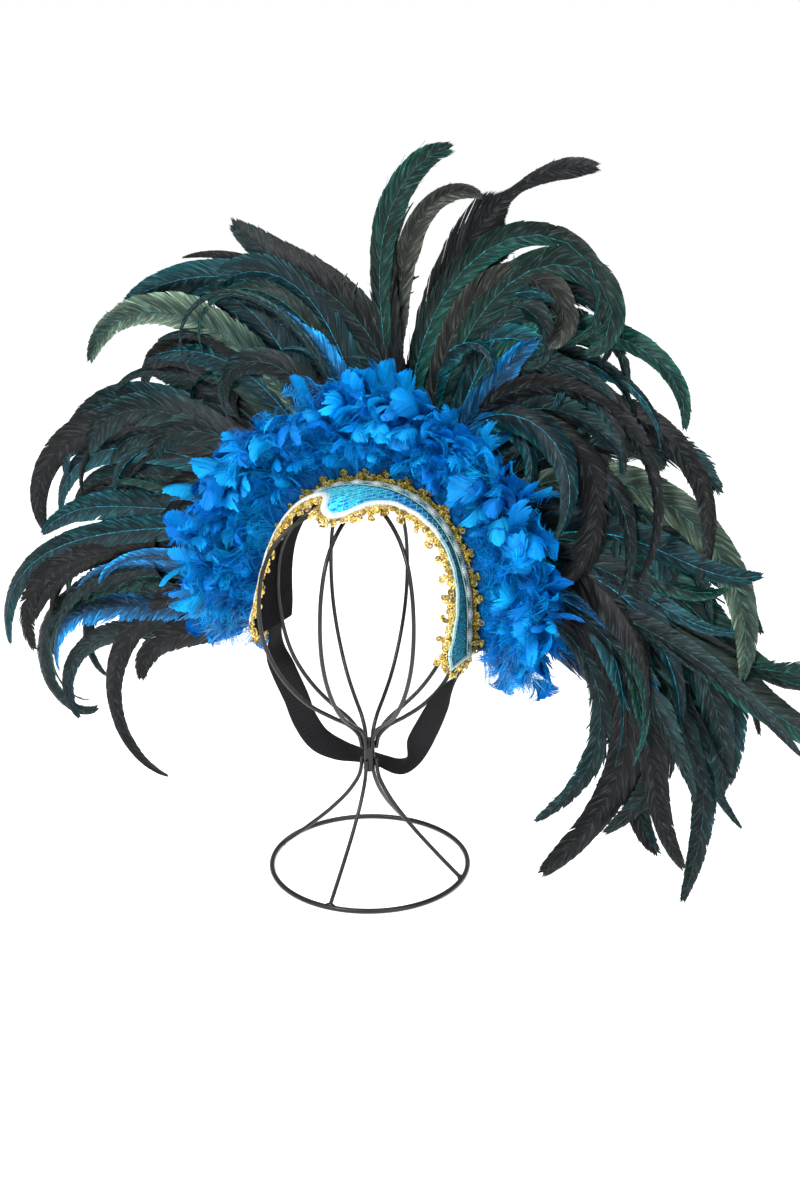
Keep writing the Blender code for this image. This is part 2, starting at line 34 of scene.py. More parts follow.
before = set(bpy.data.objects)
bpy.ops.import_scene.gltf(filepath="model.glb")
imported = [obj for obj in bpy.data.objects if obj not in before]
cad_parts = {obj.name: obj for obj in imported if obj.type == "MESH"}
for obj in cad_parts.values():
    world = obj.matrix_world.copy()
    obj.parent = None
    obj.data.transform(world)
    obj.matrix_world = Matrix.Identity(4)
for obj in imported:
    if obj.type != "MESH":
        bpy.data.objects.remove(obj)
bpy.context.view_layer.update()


# Camera: the photograph's own viewing angle, 800 x 1180 pixels

PHOTO_HEIGHT_PX = 1180
FOCAL_PX = 1500
SENSOR_MM = 36
CAMERA_PLACE = (0.49097, -0.95189, 0.58417)
CAMERA_AZIMUTH = 26.0
CAMERA_PITCH = 18.3


def make_camera():
    lens = bpy.data.cameras.new("camera")
    lens.sensor_width = SENSOR_MM
    lens.lens = FOCAL_PX / PHOTO_HEIGHT_PX * SENSOR_MM
    camera = bpy.data.objects.new("camera", lens)
    camera.location = CAMERA_PLACE
    camera.rotation_euler = (math.radians(90 - CAMERA_PITCH), 0, math.radians(CAMERA_AZIMUTH))
    bpy.context.scene.collection.objects.link(camera)
    bpy.context.scene.camera = camera


# Meshes

class Shape:
    """Collects patches of points and quads, then makes one mesh of them."""

    def __init__(self):
        self.points, self.quads, self.tints, self.places = [], [], [], []
        self.count = 0

    def add(self, points, quads, tints=(1, 1, 1), places=(0, 0)):
        points = np.asarray(points, float).reshape(-1, 3)
        self.points.append(points)
        self.quads.append(np.asarray(quads, int).reshape(-1, 4) + self.count)
        self.tints.append(np.broadcast_to(np.asarray(tints, float), (len(points), 3)))
        self.places.append(np.broadcast_to(np.asarray(places, float).reshape(-1, 2), (len(points), 2)))
        self.count += len(points)

    def add_wall(self, rings, along, across, tints=(1, 1, 1)):
        """A closed wall whose rings run along one face and back along the other, and its ends."""
        rows, sides = rings.shape[:2]
        self.add(rings, grid_quads(rows, sides, wrap_columns=True), tints, paired(along[:, None], across))
        last = sides - 1
        index = np.arange(last // 2)
        end_tints = tints[:sides] if np.ndim(tints) > 1 else tints
        for row in (0, -1):
            self.add(rings[row], np.stack([index, index + 1, last - 1 - index, last - index], 1), end_tints)

    def make(self, name, finish, *replaces):
        points, quads = np.concatenate(self.points), np.concatenate(self.quads)
        tints, places = np.concatenate(self.tints), np.concatenate(self.places)
        mesh = bpy.data.meshes.new(name)
        mesh.vertices.add(len(points))
        mesh.vertices.foreach_set("co", points.ravel())
        mesh.loops.add(len(quads) * 4)
        mesh.loops.foreach_set("vertex_index", quads.ravel())
        mesh.polygons.add(len(quads))
        mesh.polygons.foreach_set("loop_start", np.arange(len(quads)) * 4)
        mesh.update(calc_edges=True)
        mesh.polygons.foreach_set("use_smooth", np.ones(len(quads), bool))
        layer = mesh.uv_layers.new(name="place")
        layer.data.foreach_set("uv", places[quads.ravel()].ravel())
        colours = mesh.color_attributes.new("tint", "FLOAT_COLOR", "POINT")
        colours.data.foreach_set("color", np.c_[tints, np.ones(len(tints))].ravel())
        mesh.materials.append(finish.material)
        made = bpy.data.objects.new(name, mesh)
        bpy.context.scene.collection.objects.link(made)
        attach(made, "root")
        if replaces:
            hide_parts(*replaces)
        return made


def make_numbered(shapes, name, finish, *replaces):
    """One piece of each shape, of which the first stands for the replaced nodes."""
    for number, shape in enumerate(shapes):
        shape.make("%s_%d" % (name, number), finish, *(() if number else replaces))


def unit(vectors):
    return vectors / np.maximum(np.linalg.norm(vectors, axis=-1, keepdims=True), 1e-12)


def swung(first, second, turns):
    """Directions that turn from the first towards the second."""
    return first * np.cos(turns)[:, None] + second * np.sin(turns)[:, None]


def round_angles(count):
    return np.arange(count) * 2 * math.pi / count


def travelled(points):
    """How far along a line each of its points is."""
    return np.concatenate([[0], np.cumsum(np.linalg.norm(np.diff(points, axis=0), axis=1))])


def paired(first, second):
    """Two arrays spread over each other and joined along a new last axis."""
    return np.stack(np.broadcast_arrays(first, second), -1)


def grid_quads(rows, columns, wrap_rows=False, wrap_columns=False):
    row = np.arange(rows if wrap_rows else rows - 1)[:, None]
    column = np.arange(columns if wrap_columns else columns - 1)[None, :]
    after_row, after_column = (row + 1) % rows, (column + 1) % columns
    return np.stack([row * columns + column, row * columns + after_column,
                     after_row * columns + after_column, after_row * columns + column], -1).reshape(-1, 4)


def strip_quads(strips, points):
    """Quads of separate strips, two points wide and a number of points long."""
    return (grid_quads(points, 2)[None] + (np.arange(strips) * points * 2)[:, None, None]).reshape(-1, 4)


def tube(shape, points, radii, sides=8, closed=False, tints=(1, 1, 1), flat=1.0, hint=UP):
    """A round cord along points; flat squeezes it along the hint direction."""
    points = np.asarray(points, float)
    runs = unit(np.roll(points, -1, 0) - np.roll(points, 1, 0) if closed else np.gradient(points, axis=0))
    first = unit(np.cross(runs, hint) + 1e-9)
    second = np.cross(first, runs)
    angles = round_angles(sides)
    radii = np.broadcast_to(np.asarray(radii, float), (len(points),))
    rings = points[:, None] + radii[:, None, None] * (
        first[:, None] * np.cos(angles)[:, None] + flat * second[:, None] * np.sin(angles)[:, None])
    places = paired(travelled(points)[:, None], np.arange(sides) / sides)
    shape.add(rings, grid_quads(len(points), sides, closed, True), tints, places)
    if not closed:
        index = np.arange(0, sides, 2)
        cap = np.stack([index, index + 1, (index + 2) % sides, np.full(len(index), sides)], 1)
        for row in (0, len(points) - 1):
            end_tint = tints if np.ndim(tints) < 2 else tints[row * sides]
            shape.add(np.concatenate([rings[row], [points[row]]]), cap, end_tint)


def smooth_table(places, values):
    """A smooth curve through a short table (Catmull-Rom between its rows)."""
    places, values = np.asarray(places, float), np.asarray(values, float)
    slopes = np.gradient(values, places, axis=0)

    def read(place):
        place = np.clip(place, places[0], places[-1])
        low = np.clip(np.searchsorted(places, place, side="right") - 1, 0, len(places) - 2)
        span = (places[low + 1] - places[low])[..., None]
        part = (place - places[low])[..., None] / span
        rise = 3 * part**2 - 2 * part**3
        start = (part - 2 * part**2 + part**3) * span
        end = (part**3 - part**2) * span
        return values[low] * (1 - rise) + values[low + 1] * rise + slopes[low] * start + slopes[low + 1] * end

    return read


# Materials

class Finish:
    """A Principled material that keeps the name of one of the record's slots, with short ways to add nodes.
    """

    def __init__(self, name, slot=None, **sockets):
        self.slot = slot or name
        self.material = bpy.data.materials.new(name)
        self.material.use_nodes = True
        self.tree = self.material.node_tree
        self.shader = self.tree.nodes["Principled BSDF"]
        for socket, value in sockets.items():
            self.shader.inputs[socket.replace("_", " ")].default_value = value

    def node(self, kind, inputs=(), **settings):
        made = self.tree.nodes.new("ShaderNode" + kind)
        for key, value in settings.items():
            setattr(made, key, value)
        for socket, value in dict(inputs).items():
            if isinstance(value, bpy.types.NodeSocket):
                self.tree.links.new(value, made.inputs[socket])
            else:
                made.inputs[socket].default_value = value
        return made

    def link(self, output, socket):
        self.tree.links.new(output, self.shader.inputs[socket])

    def paint(self, colour):
        self.link(colour, "Base Color")

    def place(self, scale=(1, 1, 1), kind="UV"):
        coordinates = self.node("TexCoord")
        return self.node("Mapping", {"Vector": coordinates.outputs[kind], "Scale": scale}).outputs[0]

    def noise(self, scale, stretch=(1, 1, 1), kind="Object", detail=3.0, rough=0.55):
        inputs = {"Vector": self.place(stretch, kind), "Scale": scale, "Detail": detail, "Roughness": rough}
        return self.node("TexNoise", inputs).outputs["Fac"]

    def ramp(self, factor, stops):
        made = self.node("ValToRGB", {"Fac": factor})
        elements = made.color_ramp.elements
        while len(elements) < len(stops):
            elements.new(0.5)
        for element, (place, colour) in zip(elements, stops):
            element.position = place
            element.color = (*colour, 1)
        return made.outputs["Color"]

    def mix(self, factor, first, second, blend="MIX"):
        first, second = (c if isinstance(c, bpy.types.NodeSocket) else (*c, 1) for c in (first, second))
        inputs = {0: factor, 6: first, 7: second}
        return self.node("Mix", inputs, data_type="RGBA", blend_type=blend).outputs[2]

    def spread(self, factor, low, high):
        return self.node("MapRange", {"Value": factor, "To Min": low, "To Max": high}).outputs[0]

    def roughen(self, factor, low, high):
        self.link(self.spread(factor, low, high), "Roughness")

    def bump(self, height, strength, distance):
        made = self.node("Bump", {"Height": height, "Strength": strength, "Distance": distance})
        self.link(made.outputs[0], "Normal")

    def tint(self):
        return self.node("Attribute", attribute_name="tint").outputs["Color"]


def paint_finish():
    made = Finish("black_wire_paint", Roughness=0.34, Specular_IOR_Level=0.42)
    flecks = made.noise(900)
    made.roughen(flecks, 0.26, 0.44)
    # Brown-black tone that wanders in broad patches over the wire
    tone_patches = made.noise(60, detail=5)
    made.paint(made.ramp(tone_patches, ((0.3, (0.006, 0.005, 0.0045)), (0.75, (0.018, 0.014, 0.012)))))
    made.bump(flecks, 0.25, 0.0002)
    return made


def foil_finish():
    """Crinkled foil cloth at the crown that turns to dark glitter down the sides."""
    made = Finish("teal_cover_cloth", Roughness=0.4, Specular_IOR_Level=0.15)
    crease = made.noise(240, detail=4)
    channel = made.node("SeparateColor", {"Color": made.tint()})
    # The ramps over the crease noise paint the foil's glints and the shade in its creases into its colour
    aqua = made.ramp(crease, ((0.36, (0.0, 0.16, 0.6)), (0.45, (0.0, 0.42, 0.76)),
                              (0.53, (0.0, 0.74, 0.82)), (0.61, (0.12, 0.97, 0.86))))
    azure = made.ramp(crease, ((0.34, (0.0, 0.05, 0.36)), (0.46, (0.0, 0.15, 0.5)),
                               (0.56, (0.0, 0.32, 0.66)), (0.68, (0.02, 0.62, 0.82))))
    foil = made.mix(channel.outputs[1], aqua, azure)
    cells = made.node("TexVoronoi", {"Vector": made.place(kind="Object"), "Scale": 1500})
    speck = made.node("SeparateColor", {"Color": cells.outputs["Color"]})
    # The rare bright specks of the glitter ramp are painted glints
    glitter = made.ramp(speck.outputs[0], ((0.0, (0.0, 0.045, 0.085)), (0.55, (0.0, 0.11, 0.16)),
                                           (0.82, (0.005, 0.22, 0.3)), (0.97, (0.15, 0.6, 0.68))))
    made.paint(made.mix(channel.outputs[0], glitter, foil))
    made.roughen(speck.outputs[1], 0.2, 0.5)
    made.bump(made.mix(0.5, crease, cells.outputs["Distance"]), 0.5, 0.0006)
    return made


def felt_finish():
    made = Finish("black_felt", Roughness=0.95, Specular_IOR_Level=0.1)
    fuzz = made.noise(1400, detail=5, rough=0.7)
    cloud = made.noise(90)
    close = made.ramp(fuzz, ((0.3, (0.003, 0.0025, 0.004)), (0.8, (0.014, 0.012, 0.017))))
    broad = made.ramp(cloud, ((0.3, (0.003, 0.003, 0.004)), (0.7, (0.01, 0.009, 0.012))))
    made.paint(made.mix(0.5, close, broad))
    made.bump(fuzz, 0.8, 0.0005)
    return made


def elastic_finish():
    made = Finish("black_elastic", Roughness=0.8, Specular_IOR_Level=0.2)
    rib = made.node("TexWave", {"Vector": made.place((1, 0, 0)), "Scale": 95.0}, wave_type="BANDS")
    cord = made.node("TexWave", {"Vector": made.place((0, 1, 0)), "Scale": 260.0}, wave_type="BANDS",
                     bands_direction="Y")
    crossed = {0: rib.outputs["Fac"], 1: cord.outputs["Fac"]}
    weave = made.node("Math", crossed, operation="MULTIPLY").outputs[0]
    made.paint(made.ramp(weave, ((0.0, (0.006, 0.006, 0.007)), (1.0, (0.013, 0.013, 0.015)))))
    made.bump(weave, 0.3, 0.0002)
    return made


def gold_finish():
    made = Finish("gold_lace", Roughness=0.28, Metallic=0.6)
    ply = made.noise(1, (2600, 9, 1), "UV", 1.0)
    tone = made.noise(750, detail=4, rough=0.65)
    # The ramp over tone is painted light: cream highlights and dark brown shadows
    thread = made.mix(made.spread(ply, 0.15, 0.7),
                      made.ramp(tone, ((0.34, (0.22, 0.12, 0.01)), (0.42, (0.8, 0.52, 0.05)),
                                       (0.49, (1.0, 0.8, 0.16)), (0.57, (1.0, 0.97, 0.66)))),
                      (0.45, 0.24, 0.02))
    # The loops' tints bring in their painted highlight and shade
    made.paint(made.mix(1.0, thread, made.tint(), "MULTIPLY"))
    made.roughen(ply, 0.22, 0.45)
    made.bump(ply, 0.5, 0.0003)
    return made


def cord_finish():
    made = Finish("pale_mint_cord", Roughness=0.42, Sheen_Weight=0.25)
    twist = made.node("TexWave", {"Vector": made.place((1, 0.0035, 0)), "Scale": 190.0, "Distortion": 0.6},
                      wave_type="BANDS", bands_direction="DIAGONAL")
    made.paint(made.mix(made.spread(twist.outputs["Fac"], 0.75, 1.0), (0.1, 0.3, 0.28), made.tint()))
    made.bump(twist.outputs["Fac"], 0.6, 0.0004)
    return made


def mottled(name, slot, scale, dark, light, **sockets):
    """A plain finish whose colour wanders between two tones."""
    made = Finish(name, slot, **sockets)
    made.paint(made.ramp(made.noise(scale), ((0.3, dark), (0.7, light))))
    return made


def boa_finish():
    made = Finish("blue_boa_feathers", Roughness=0.6, Specular_IOR_Level=0.15)
    barbs = made.noise(1, (1500, 3, 1), "UV", 2.0)
    made.paint(made.mix(made.spread(barbs, 0.0, 0.75), made.tint(),
                        made.mix(1.0, made.tint(), (0.45, 0.62, 0.8), "MULTIPLY")))
    made.bump(barbs, 0.5, 0.0004)
    return made


def coque_finish():
    made = Finish("coque_feathers", Specular_IOR_Level=0.19, Specular_Tint=(1.0, 0.98, 1.0, 1))
    barbs = made.noise(1, (1300, 2.5, 1), "UV", 2.0)
    sheen_and_shade_streaks = made.noise(1, (330, 1.4, 1), "UV", 3.0)
    # dark is painted shadow, in the lines between the barbs and in dark streaks
    dark = made.mix(1.0, made.tint(), (0.22, 0.26, 0.28), "MULTIPLY")
    # lifted and light are a painted sheen, in pale grey-teal highlight streaks
    lifted = made.mix(1.0, made.tint(), (0.016, 0.019, 0.019), "ADD")
    light = made.mix(1.0, lifted, (2.5, 2.5, 2.5), "MULTIPLY")
    lines = made.mix(made.spread(barbs, -0.2, 1.2), made.tint(), dark)
    shaded = made.mix(made.ramp(sheen_and_shade_streaks, ((0.32, (1, 1, 1)), (0.45, (0, 0, 0)))), lines, dark)
    made.paint(made.mix(made.ramp(sheen_and_shade_streaks, ((0.52, (0, 0, 0)), (0.78, (1, 1, 1)))), shaded, light))
    made.roughen(sheen_and_shade_streaks, 0.22, 0.62)
    made.bump(made.mix(0.5, barbs, sheen_and_shade_streaks), 0.7, 0.0006)
    return made


# Wire stand, smooth along the same lines as the solid one

RING_RADIUS = 78.0 * MM
RING_WIRE_RADIUS = 2.0 * MM
RIB_WIRE_RADIUS = 1.6 * MM
# How far round the first rib and leg stand (degrees)
RIB_TURN = 4.0
RIB_PROFILE = (
    # height, front, back, pressed (mm)
    (102, 6.0, 6.0, 6.0),
    (112, 8.0, 8.0, 8.0),
    (121, 15.0, 14.5, 15.0),
    (131, 30.0, 28.0, 29.0),
    (143, 47.0, 43.0, 44.0),
    (167, 68.0, 62.0, 63.0),
    (200, 83.0, 76.5, 73.5),
    (231, 86.0, 79.5, 75.5),
    (255, 82.0, 76.0, 71.5),
    (272, 74.0, 68.0, 63.0),
    (284, 62.0, 57.0, 52.0),
    (293, 45.0, 42.0, 38.0),
    (299, 24.0, 23.0, 20.0),
    (301.5, 3.0, 3.0, 3.0),
)
# Each rib's column of the profile, from the right side on to the back, the left and the front
RIB_SHAPES = (3, 2, 2, 2, 3, 1, 1, 1)
# height, radius (mm)
LEG_PROFILE = ((2, 78.0), (22, 55.0), (44, 32.0), (64, 15.5), (78, 8.0), (92, 6.0))
# lowest and highest point (mm)
WAIST_WELD = (82, 108)
# height, radius (mm)
TOP_WELD = ((299.6, 4), (300.6, 6.6), (302.2, 6.4), (303.4, 3))
# place along the ring, radius (mm)
LEG_WELD = ((-4, 0.5), (-2, 1.7), (0, 2.1), (2, 1.7), (4, 0.5))
LEG_WELD_RADIUS = 76.6 * MM
LEG_WELD_HEIGHT = 3 * MM


def around(azimuth):
    """The directions out from the stand's axis and along the ring."""
    cos, sin = math.cos(azimuth), math.sin(azimuth)
    return np.array([cos, sin, 0]), np.array([-sin, cos, 0])


def make_stand():
    shape = Shape()
    turn = round_angles(96)
    circle = np.stack([np.cos(turn), np.sin(turn), 0 * turn], 1)
    tube(shape, circle * RING_RADIUS + UP * RING_WIRE_RADIUS, RING_WIRE_RADIUS, 10, closed=True)

    def upright(azimuth, rows):
        rows = np.array(rows, float) * MM
        travel = travelled(rows)
        line = smooth_table(travel, rows)(np.linspace(0, travel[-1], 4 * len(rows)))
        out, across = around(azimuth)
        tube(shape, out * line[:, 1:2] + UP * line[:, :1], RIB_WIRE_RADIUS, 8, hint=across)

    for number, column in enumerate(RIB_SHAPES):
        upright(math.radians(RIB_TURN + 45 * number), [(row[0], row[column]) for row in RIB_PROFILE])
    for number in range(4):
        upright(math.radians(RIB_TURN + 90 * number), LEG_PROFILE)
    # The welds: beads of metal round the waist, at the top and on the ring
    steps = np.linspace(*WAIST_WELD, 15)
    tube(shape, np.outer(steps * MM, UP), (4.4 + 0.25 * np.sin(steps * 1.9)) * MM, 12, hint=BACK)
    heights, radii = np.array(TOP_WELD).T
    tube(shape, np.outer(heights * MM, UP), radii * MM, 12, hint=BACK)
    for number in range(4):
        out, along = around(math.radians(RIB_TURN + 90 * number))
        line = [out * LEG_WELD_RADIUS + UP * LEG_WELD_HEIGHT + along * place * MM for place, _ in LEG_WELD]
        tube(shape, line, np.array([radius for _, radius in LEG_WELD]) * MM, 8)
    shape.make("stand_wires", paint_finish(), "wire_stand")


# The headband's surface, as in the solid model

ARCH_HALF_WIDTH = 82.5 * MM
ARCH_RISE = 91.0 * MM
ARCH_SPRING_Z = 217.0 * MM
ARCH_POWER = 2.3
ARCH_FOOT_Z = 190.0 * MM
BAND_EDGES = (
    # from_top, front, rear_trim, rear (mm)
    (0, -58, 12, 36),
    (10, -49, 12, 36),
    (24, -22, 11, 34),
    (40, -15, 10, 32),
    (60, -12, 8, 29),
    (80, -12, 6, 26),
    (100, -15, 4, 24),
    (120, -20, 4, 24),
    (140, -28, 4, 24),
    (155, -35, 4, 24),
    (167, -32, 4, 22),
)
PEAK_DROP = 8.0 * MM
PEAK_START_Y = -20.0 * MM
PEAK_LENGTH = 38.0 * MM
REAR_LIFT = 0.06
COVER_THICKNESS = 2.0 * MM
LINING_FACES = (-3.9 * MM, -2.3 * MM)
LINING_SETBACK = 1.5 * MM
WALL_ROWS = 221
WALL_COLUMNS = 25
FRONT, TRIM, REAR = 0, 1, 2


def arch_table():
    """The cover's outer face from its left foot to its right foot: travel, x and z."""
    angles = np.linspace(0, math.pi, 721)
    x = ARCH_HALF_WIDTH * np.sign(np.cos(angles)) * np.abs(np.cos(angles)) ** (2 / ARCH_POWER)
    z = ARCH_SPRING_Z + ARCH_RISE * np.abs(np.sin(angles)) ** (2 / ARCH_POWER)
    x = np.concatenate([[ARCH_HALF_WIDTH], x, [-ARCH_HALF_WIDTH]])[::-1]
    z = np.concatenate([[ARCH_FOOT_Z], z, [ARCH_FOOT_Z]])[::-1]
    along = np.concatenate([[0], np.cumsum(np.hypot(np.diff(x), np.diff(z)))])
    return along - along[-1] / 2, x, z


ARCH_ALONG, ARCH_X, ARCH_Z = arch_table()
ARCH_END = ARCH_ALONG[-1]
read_edges = smooth_table([row[0] * MM for row in BAND_EDGES],
                          [[place * MM for place in row[1:]] for row in BAND_EDGES])


def seats_along(setback, count):
    return np.linspace(-ARCH_END + setback, ARCH_END - setback, count)


def edge(seat, column):
    """How far back the band's FRONT edge, its rear TRIM or its REAR edge is."""
    return read_edges(np.abs(np.asarray(seat, float)))[..., column]


def arch(seat, y, out):
    """Points over the cover's outer face, out metres proud of it, and normals."""
    seat, y, out = np.broadcast_arrays(np.asarray(seat, float), y, out)
    probe = 3 * MM
    x, z = np.interp(seat, ARCH_ALONG, ARCH_X), np.interp(seat, ARCH_ALONG, ARCH_Z)
    run = unit(np.stack([np.interp(seat + probe, ARCH_ALONG, line) - np.interp(seat - probe, ARCH_ALONG, line)
                         for line in (ARCH_X, ARCH_Z)], -1))
    normal = np.stack([-run[..., 1], 0 * z, run[..., 0]], -1)
    height = np.maximum(0, (z - ARCH_SPRING_Z) / ARCH_RISE) ** 2
    drop = PEAK_DROP * (np.maximum(0, PEAK_START_Y - y) / PEAK_LENGTH) ** 2
    lift = REAR_LIFT * np.maximum(0, y - PEAK_START_Y)
    return np.stack([x, y, z + height * (lift - drop)], -1) + normal * out[..., None], normal


def by_trim(seat, behind, out):
    """A point behind the rear trim's line, and the cover's normal there."""
    return arch(seat, edge(seat, TRIM) + behind, out)


def band_wall(shape, inner, outer, setback, tint):
    """A closed cloth wall with rounded edges between two distances."""
    seats, columns = seats_along(setback, WALL_ROWS), WALL_COLUMNS
    part = np.concatenate([np.linspace(0, 1, columns), np.linspace(1, 0, columns)])
    depth = np.concatenate([np.full(columns, outer), np.full(columns, inner)])
    for index in (0, columns - 1, columns, -1):
        depth[index] = depth[index] * 0.75 + (inner + outer) / 2 * 0.25
    low, high = edge(seats, FRONT) + setback, edge(seats, REAR) - setback
    y = low[:, None] + (high - low)[:, None] * part
    points, _ = arch(seats[:, None], y, depth[None, :])
    shape.add_wall(points, seats, y, np.repeat(tint(seats), len(part), axis=0))


def foil_places(seat):
    """The first channel turns glitter to foil, the second one turns aqua foil to azure."""
    foil = np.clip((66 * MM - np.abs(seat)) / (20 * MM), 0, 1)
    azure = np.clip((seat + 6 * MM) / (36 * MM), 0, 1)
    return np.stack([foil, azure, 0 * seat], -1)


def make_band():
    cover = Shape()
    band_wall(cover, -COVER_THICKNESS, 0.0, 0.0, foil_places)
    cover.make("cover_cloth", foil_finish(), "headband_cover")
    lining = Shape()
    band_wall(lining, *LINING_FACES, LINING_SETBACK, lambda seat: np.ones((len(seat), 3)))
    lining.make("lining_felt", felt_finish(), "headband_lining")


# Net over the crown, piping and braid

NET_PITCH = 5.2 * MM
NET_REACH = 78 * MM
NET_THREAD = 0.2 * MM
WAVE_PITCH = 16 * MM
BEAD_PITCH = 16.5 * MM
BINDING_PITCH = 1.6 * MM
BINDING_THREAD = 0.42 * MM
# The piping is wide over the crown, and thin past this seat
PIPING_TURN = 70 * MM
WHITE = np.array([0.86, 0.88, 0.84])
MINT = np.array([0.42, 0.74, 0.72])


def make_net():
    shape = Shape()
    for slant in (-1, 1):
        for start in np.arange(-150, 151) * NET_PITCH:
            y = np.arange(-58, 12.1, 0.8) * MM
            seat = start + slant * 0.42 * y + 0.25 * MM * np.sin(y / NET_PITCH * 4)
            on_foil = (y > edge(seat, FRONT) + 1 * MM) & (y < edge(seat, TRIM) - 3 * MM)
            inside = np.flatnonzero(on_foil & (np.abs(seat) < NET_REACH))
            for run in np.split(inside, np.flatnonzero(np.diff(inside) > 1) + 1):
                if len(run) >= 4:
                    tube(shape, arch(seat[run], y[run], 0.35 * MM)[0], NET_THREAD, 4)
    thread = mottled("net_thread", "teal_cover_cloth", 400, (0.12, 0.7, 0.88), (0.5, 0.95, 0.97),
                     Roughness=0.45)
    shape.make("crown_net", thread)


def edge_line(offset, column, out, count=420, wave=0.0):
    """A line along an edge of the cover, with waves as the lace has."""
    seats = seats_along(1 * MM, count)
    slope = np.gradient(edge(seats, column), seats)
    y = edge(seats, column) + (offset + wave * np.cos(seats / WAVE_PITCH * 2 * math.pi)) * np.hypot(1, slope)
    return seats, *arch(seats, y, out)


def foot_line(side, out):
    """A line across one end of the band, from its front edge to the rear trim."""
    y = np.linspace(edge(ARCH_END, FRONT), edge(ARCH_END, TRIM), 40)
    return arch(np.full(len(y), side * (ARCH_END - 1.6 * MM)), y, out)[0]


def make_piping():
    """Satin cords: piping on the front edge, and a braid of beads at the rear."""
    shape = Shape()
    seats, line, _ = edge_line(0.4 * MM, FRONT, 0.1 * MM, wave=0.45 * MM)
    crown, side_run = seats < PIPING_TURN + 2 * MM, seats > PIPING_TURN
    wide = 1.4 * MM + 0.9 * MM * np.exp(-((seats + 8 * MM) / (62 * MM)) ** 4)
    tube(shape, line[crown], wide[crown], 8, tints=WHITE * 0.97 + MINT * 0.03)
    tube(shape, line[side_run], 0.95 * MM, 8, tints=WHITE * 0.35 + MINT * 0.65)
    line = edge_line(3.0 * MM, FRONT, 0.4 * MM, wave=0.3 * MM)[1]
    tube(shape, line[crown], 0.8 * MM, 6, tints=WHITE * 0.3 + MINT * 0.7)
    tube(shape, line[side_run], 0.55 * MM, 6, tints=WHITE * 0.2 + MINT * 0.8)
    for side in (-1, 1):
        tube(shape, foot_line(side, 0.6 * MM), 1.5 * MM, 8, tints=WHITE * 0.5 + MINT * 0.5, hint=BACK)
    # The rear braid: padded satin beads bound with a fine thread, between two cords
    for offset, radius in ((-7.2, 0.5), (-0.2, 0.6)):
        tube(shape, edge_line(offset * MM, TRIM, 0.6 * MM)[1], radius * MM, 6, tints=MINT * 0.8)
    _, line, normals = edge_line(-3.7 * MM, TRIM, 1.0 * MM, count=2600)
    travel = travelled(line)
    full = np.abs(np.sin(travel / BEAD_PITCH * math.pi))
    swell = (0.4 + 2.6 * full**1.6) * MM
    deep = MINT * 0.2 + (WHITE - MINT * 0.2) * (0.6 * full**3)[:, None]
    pale = MINT * 0.3 + (WHITE * 0.8 - MINT * 0.1) * (full**1.2)[:, None]
    tube(shape, line[::4], swell[::4], 10, tints=np.repeat(deep[::4], 10, axis=0), flat=0.55,
         hint=normals[::4])
    turn = travel / BINDING_PITCH * 2 * math.pi
    over = unit(np.cross(np.gradient(line, axis=0), normals))
    around_bead = over * np.cos(turn)[:, None] + 0.55 * normals * np.sin(turn)[:, None]
    wound = line + (swell + 0.1 * MM)[:, None] * around_bead
    tube(shape, wound, BINDING_THREAD, 4, tints=np.repeat(pale, 4, axis=0))
    shape.make("satin_braid", cord_finish(), "pale_braid")
    dark = Shape()
    tube(dark, edge_line(-9.0 * MM, TRIM, 0.3 * MM)[1], 0.7 * MM, 6, flat=0.6)
    thread = mottled("dark_thread", "black_felt", 700, (0.004, 0.016, 0.022), (0.01, 0.05, 0.06),
                     Roughness=0.7)
    dark.make("dark_line", thread)


# Gold lace

GOLD_SEED = 5
HEADER_PITCH = 2.4 * MM
HEADER_THREAD = 0.52 * MM
PICOT_THREAD = 0.6 * MM
LOOP_TURN = round_angles(10)
# Every lobe of a cluster: its turn to the side (degrees), how far it reaches (mm)
LOBES = ((-64, 5.8), (0, 6.8), (64, 5.8))
# Tones of the lace runs' gold: the front as lit, the rear darker and olive as painted shade
FRONT_GOLD = (1.0, 1.0, 1.0)
SHADED_REAR_GOLD = (0.64, 0.7, 0.5)


def loop(shape, centre, first, second, radius, thread, squash, tint):
    """A closed loop of gold thread."""
    circle = np.cos(LOOP_TURN)[:, None] * first + squash * np.sin(LOOP_TURN)[:, None] * second
    tube(shape, centre + radius * circle, thread, 5, closed=True, tints=tint, hint=np.cross(first, second))


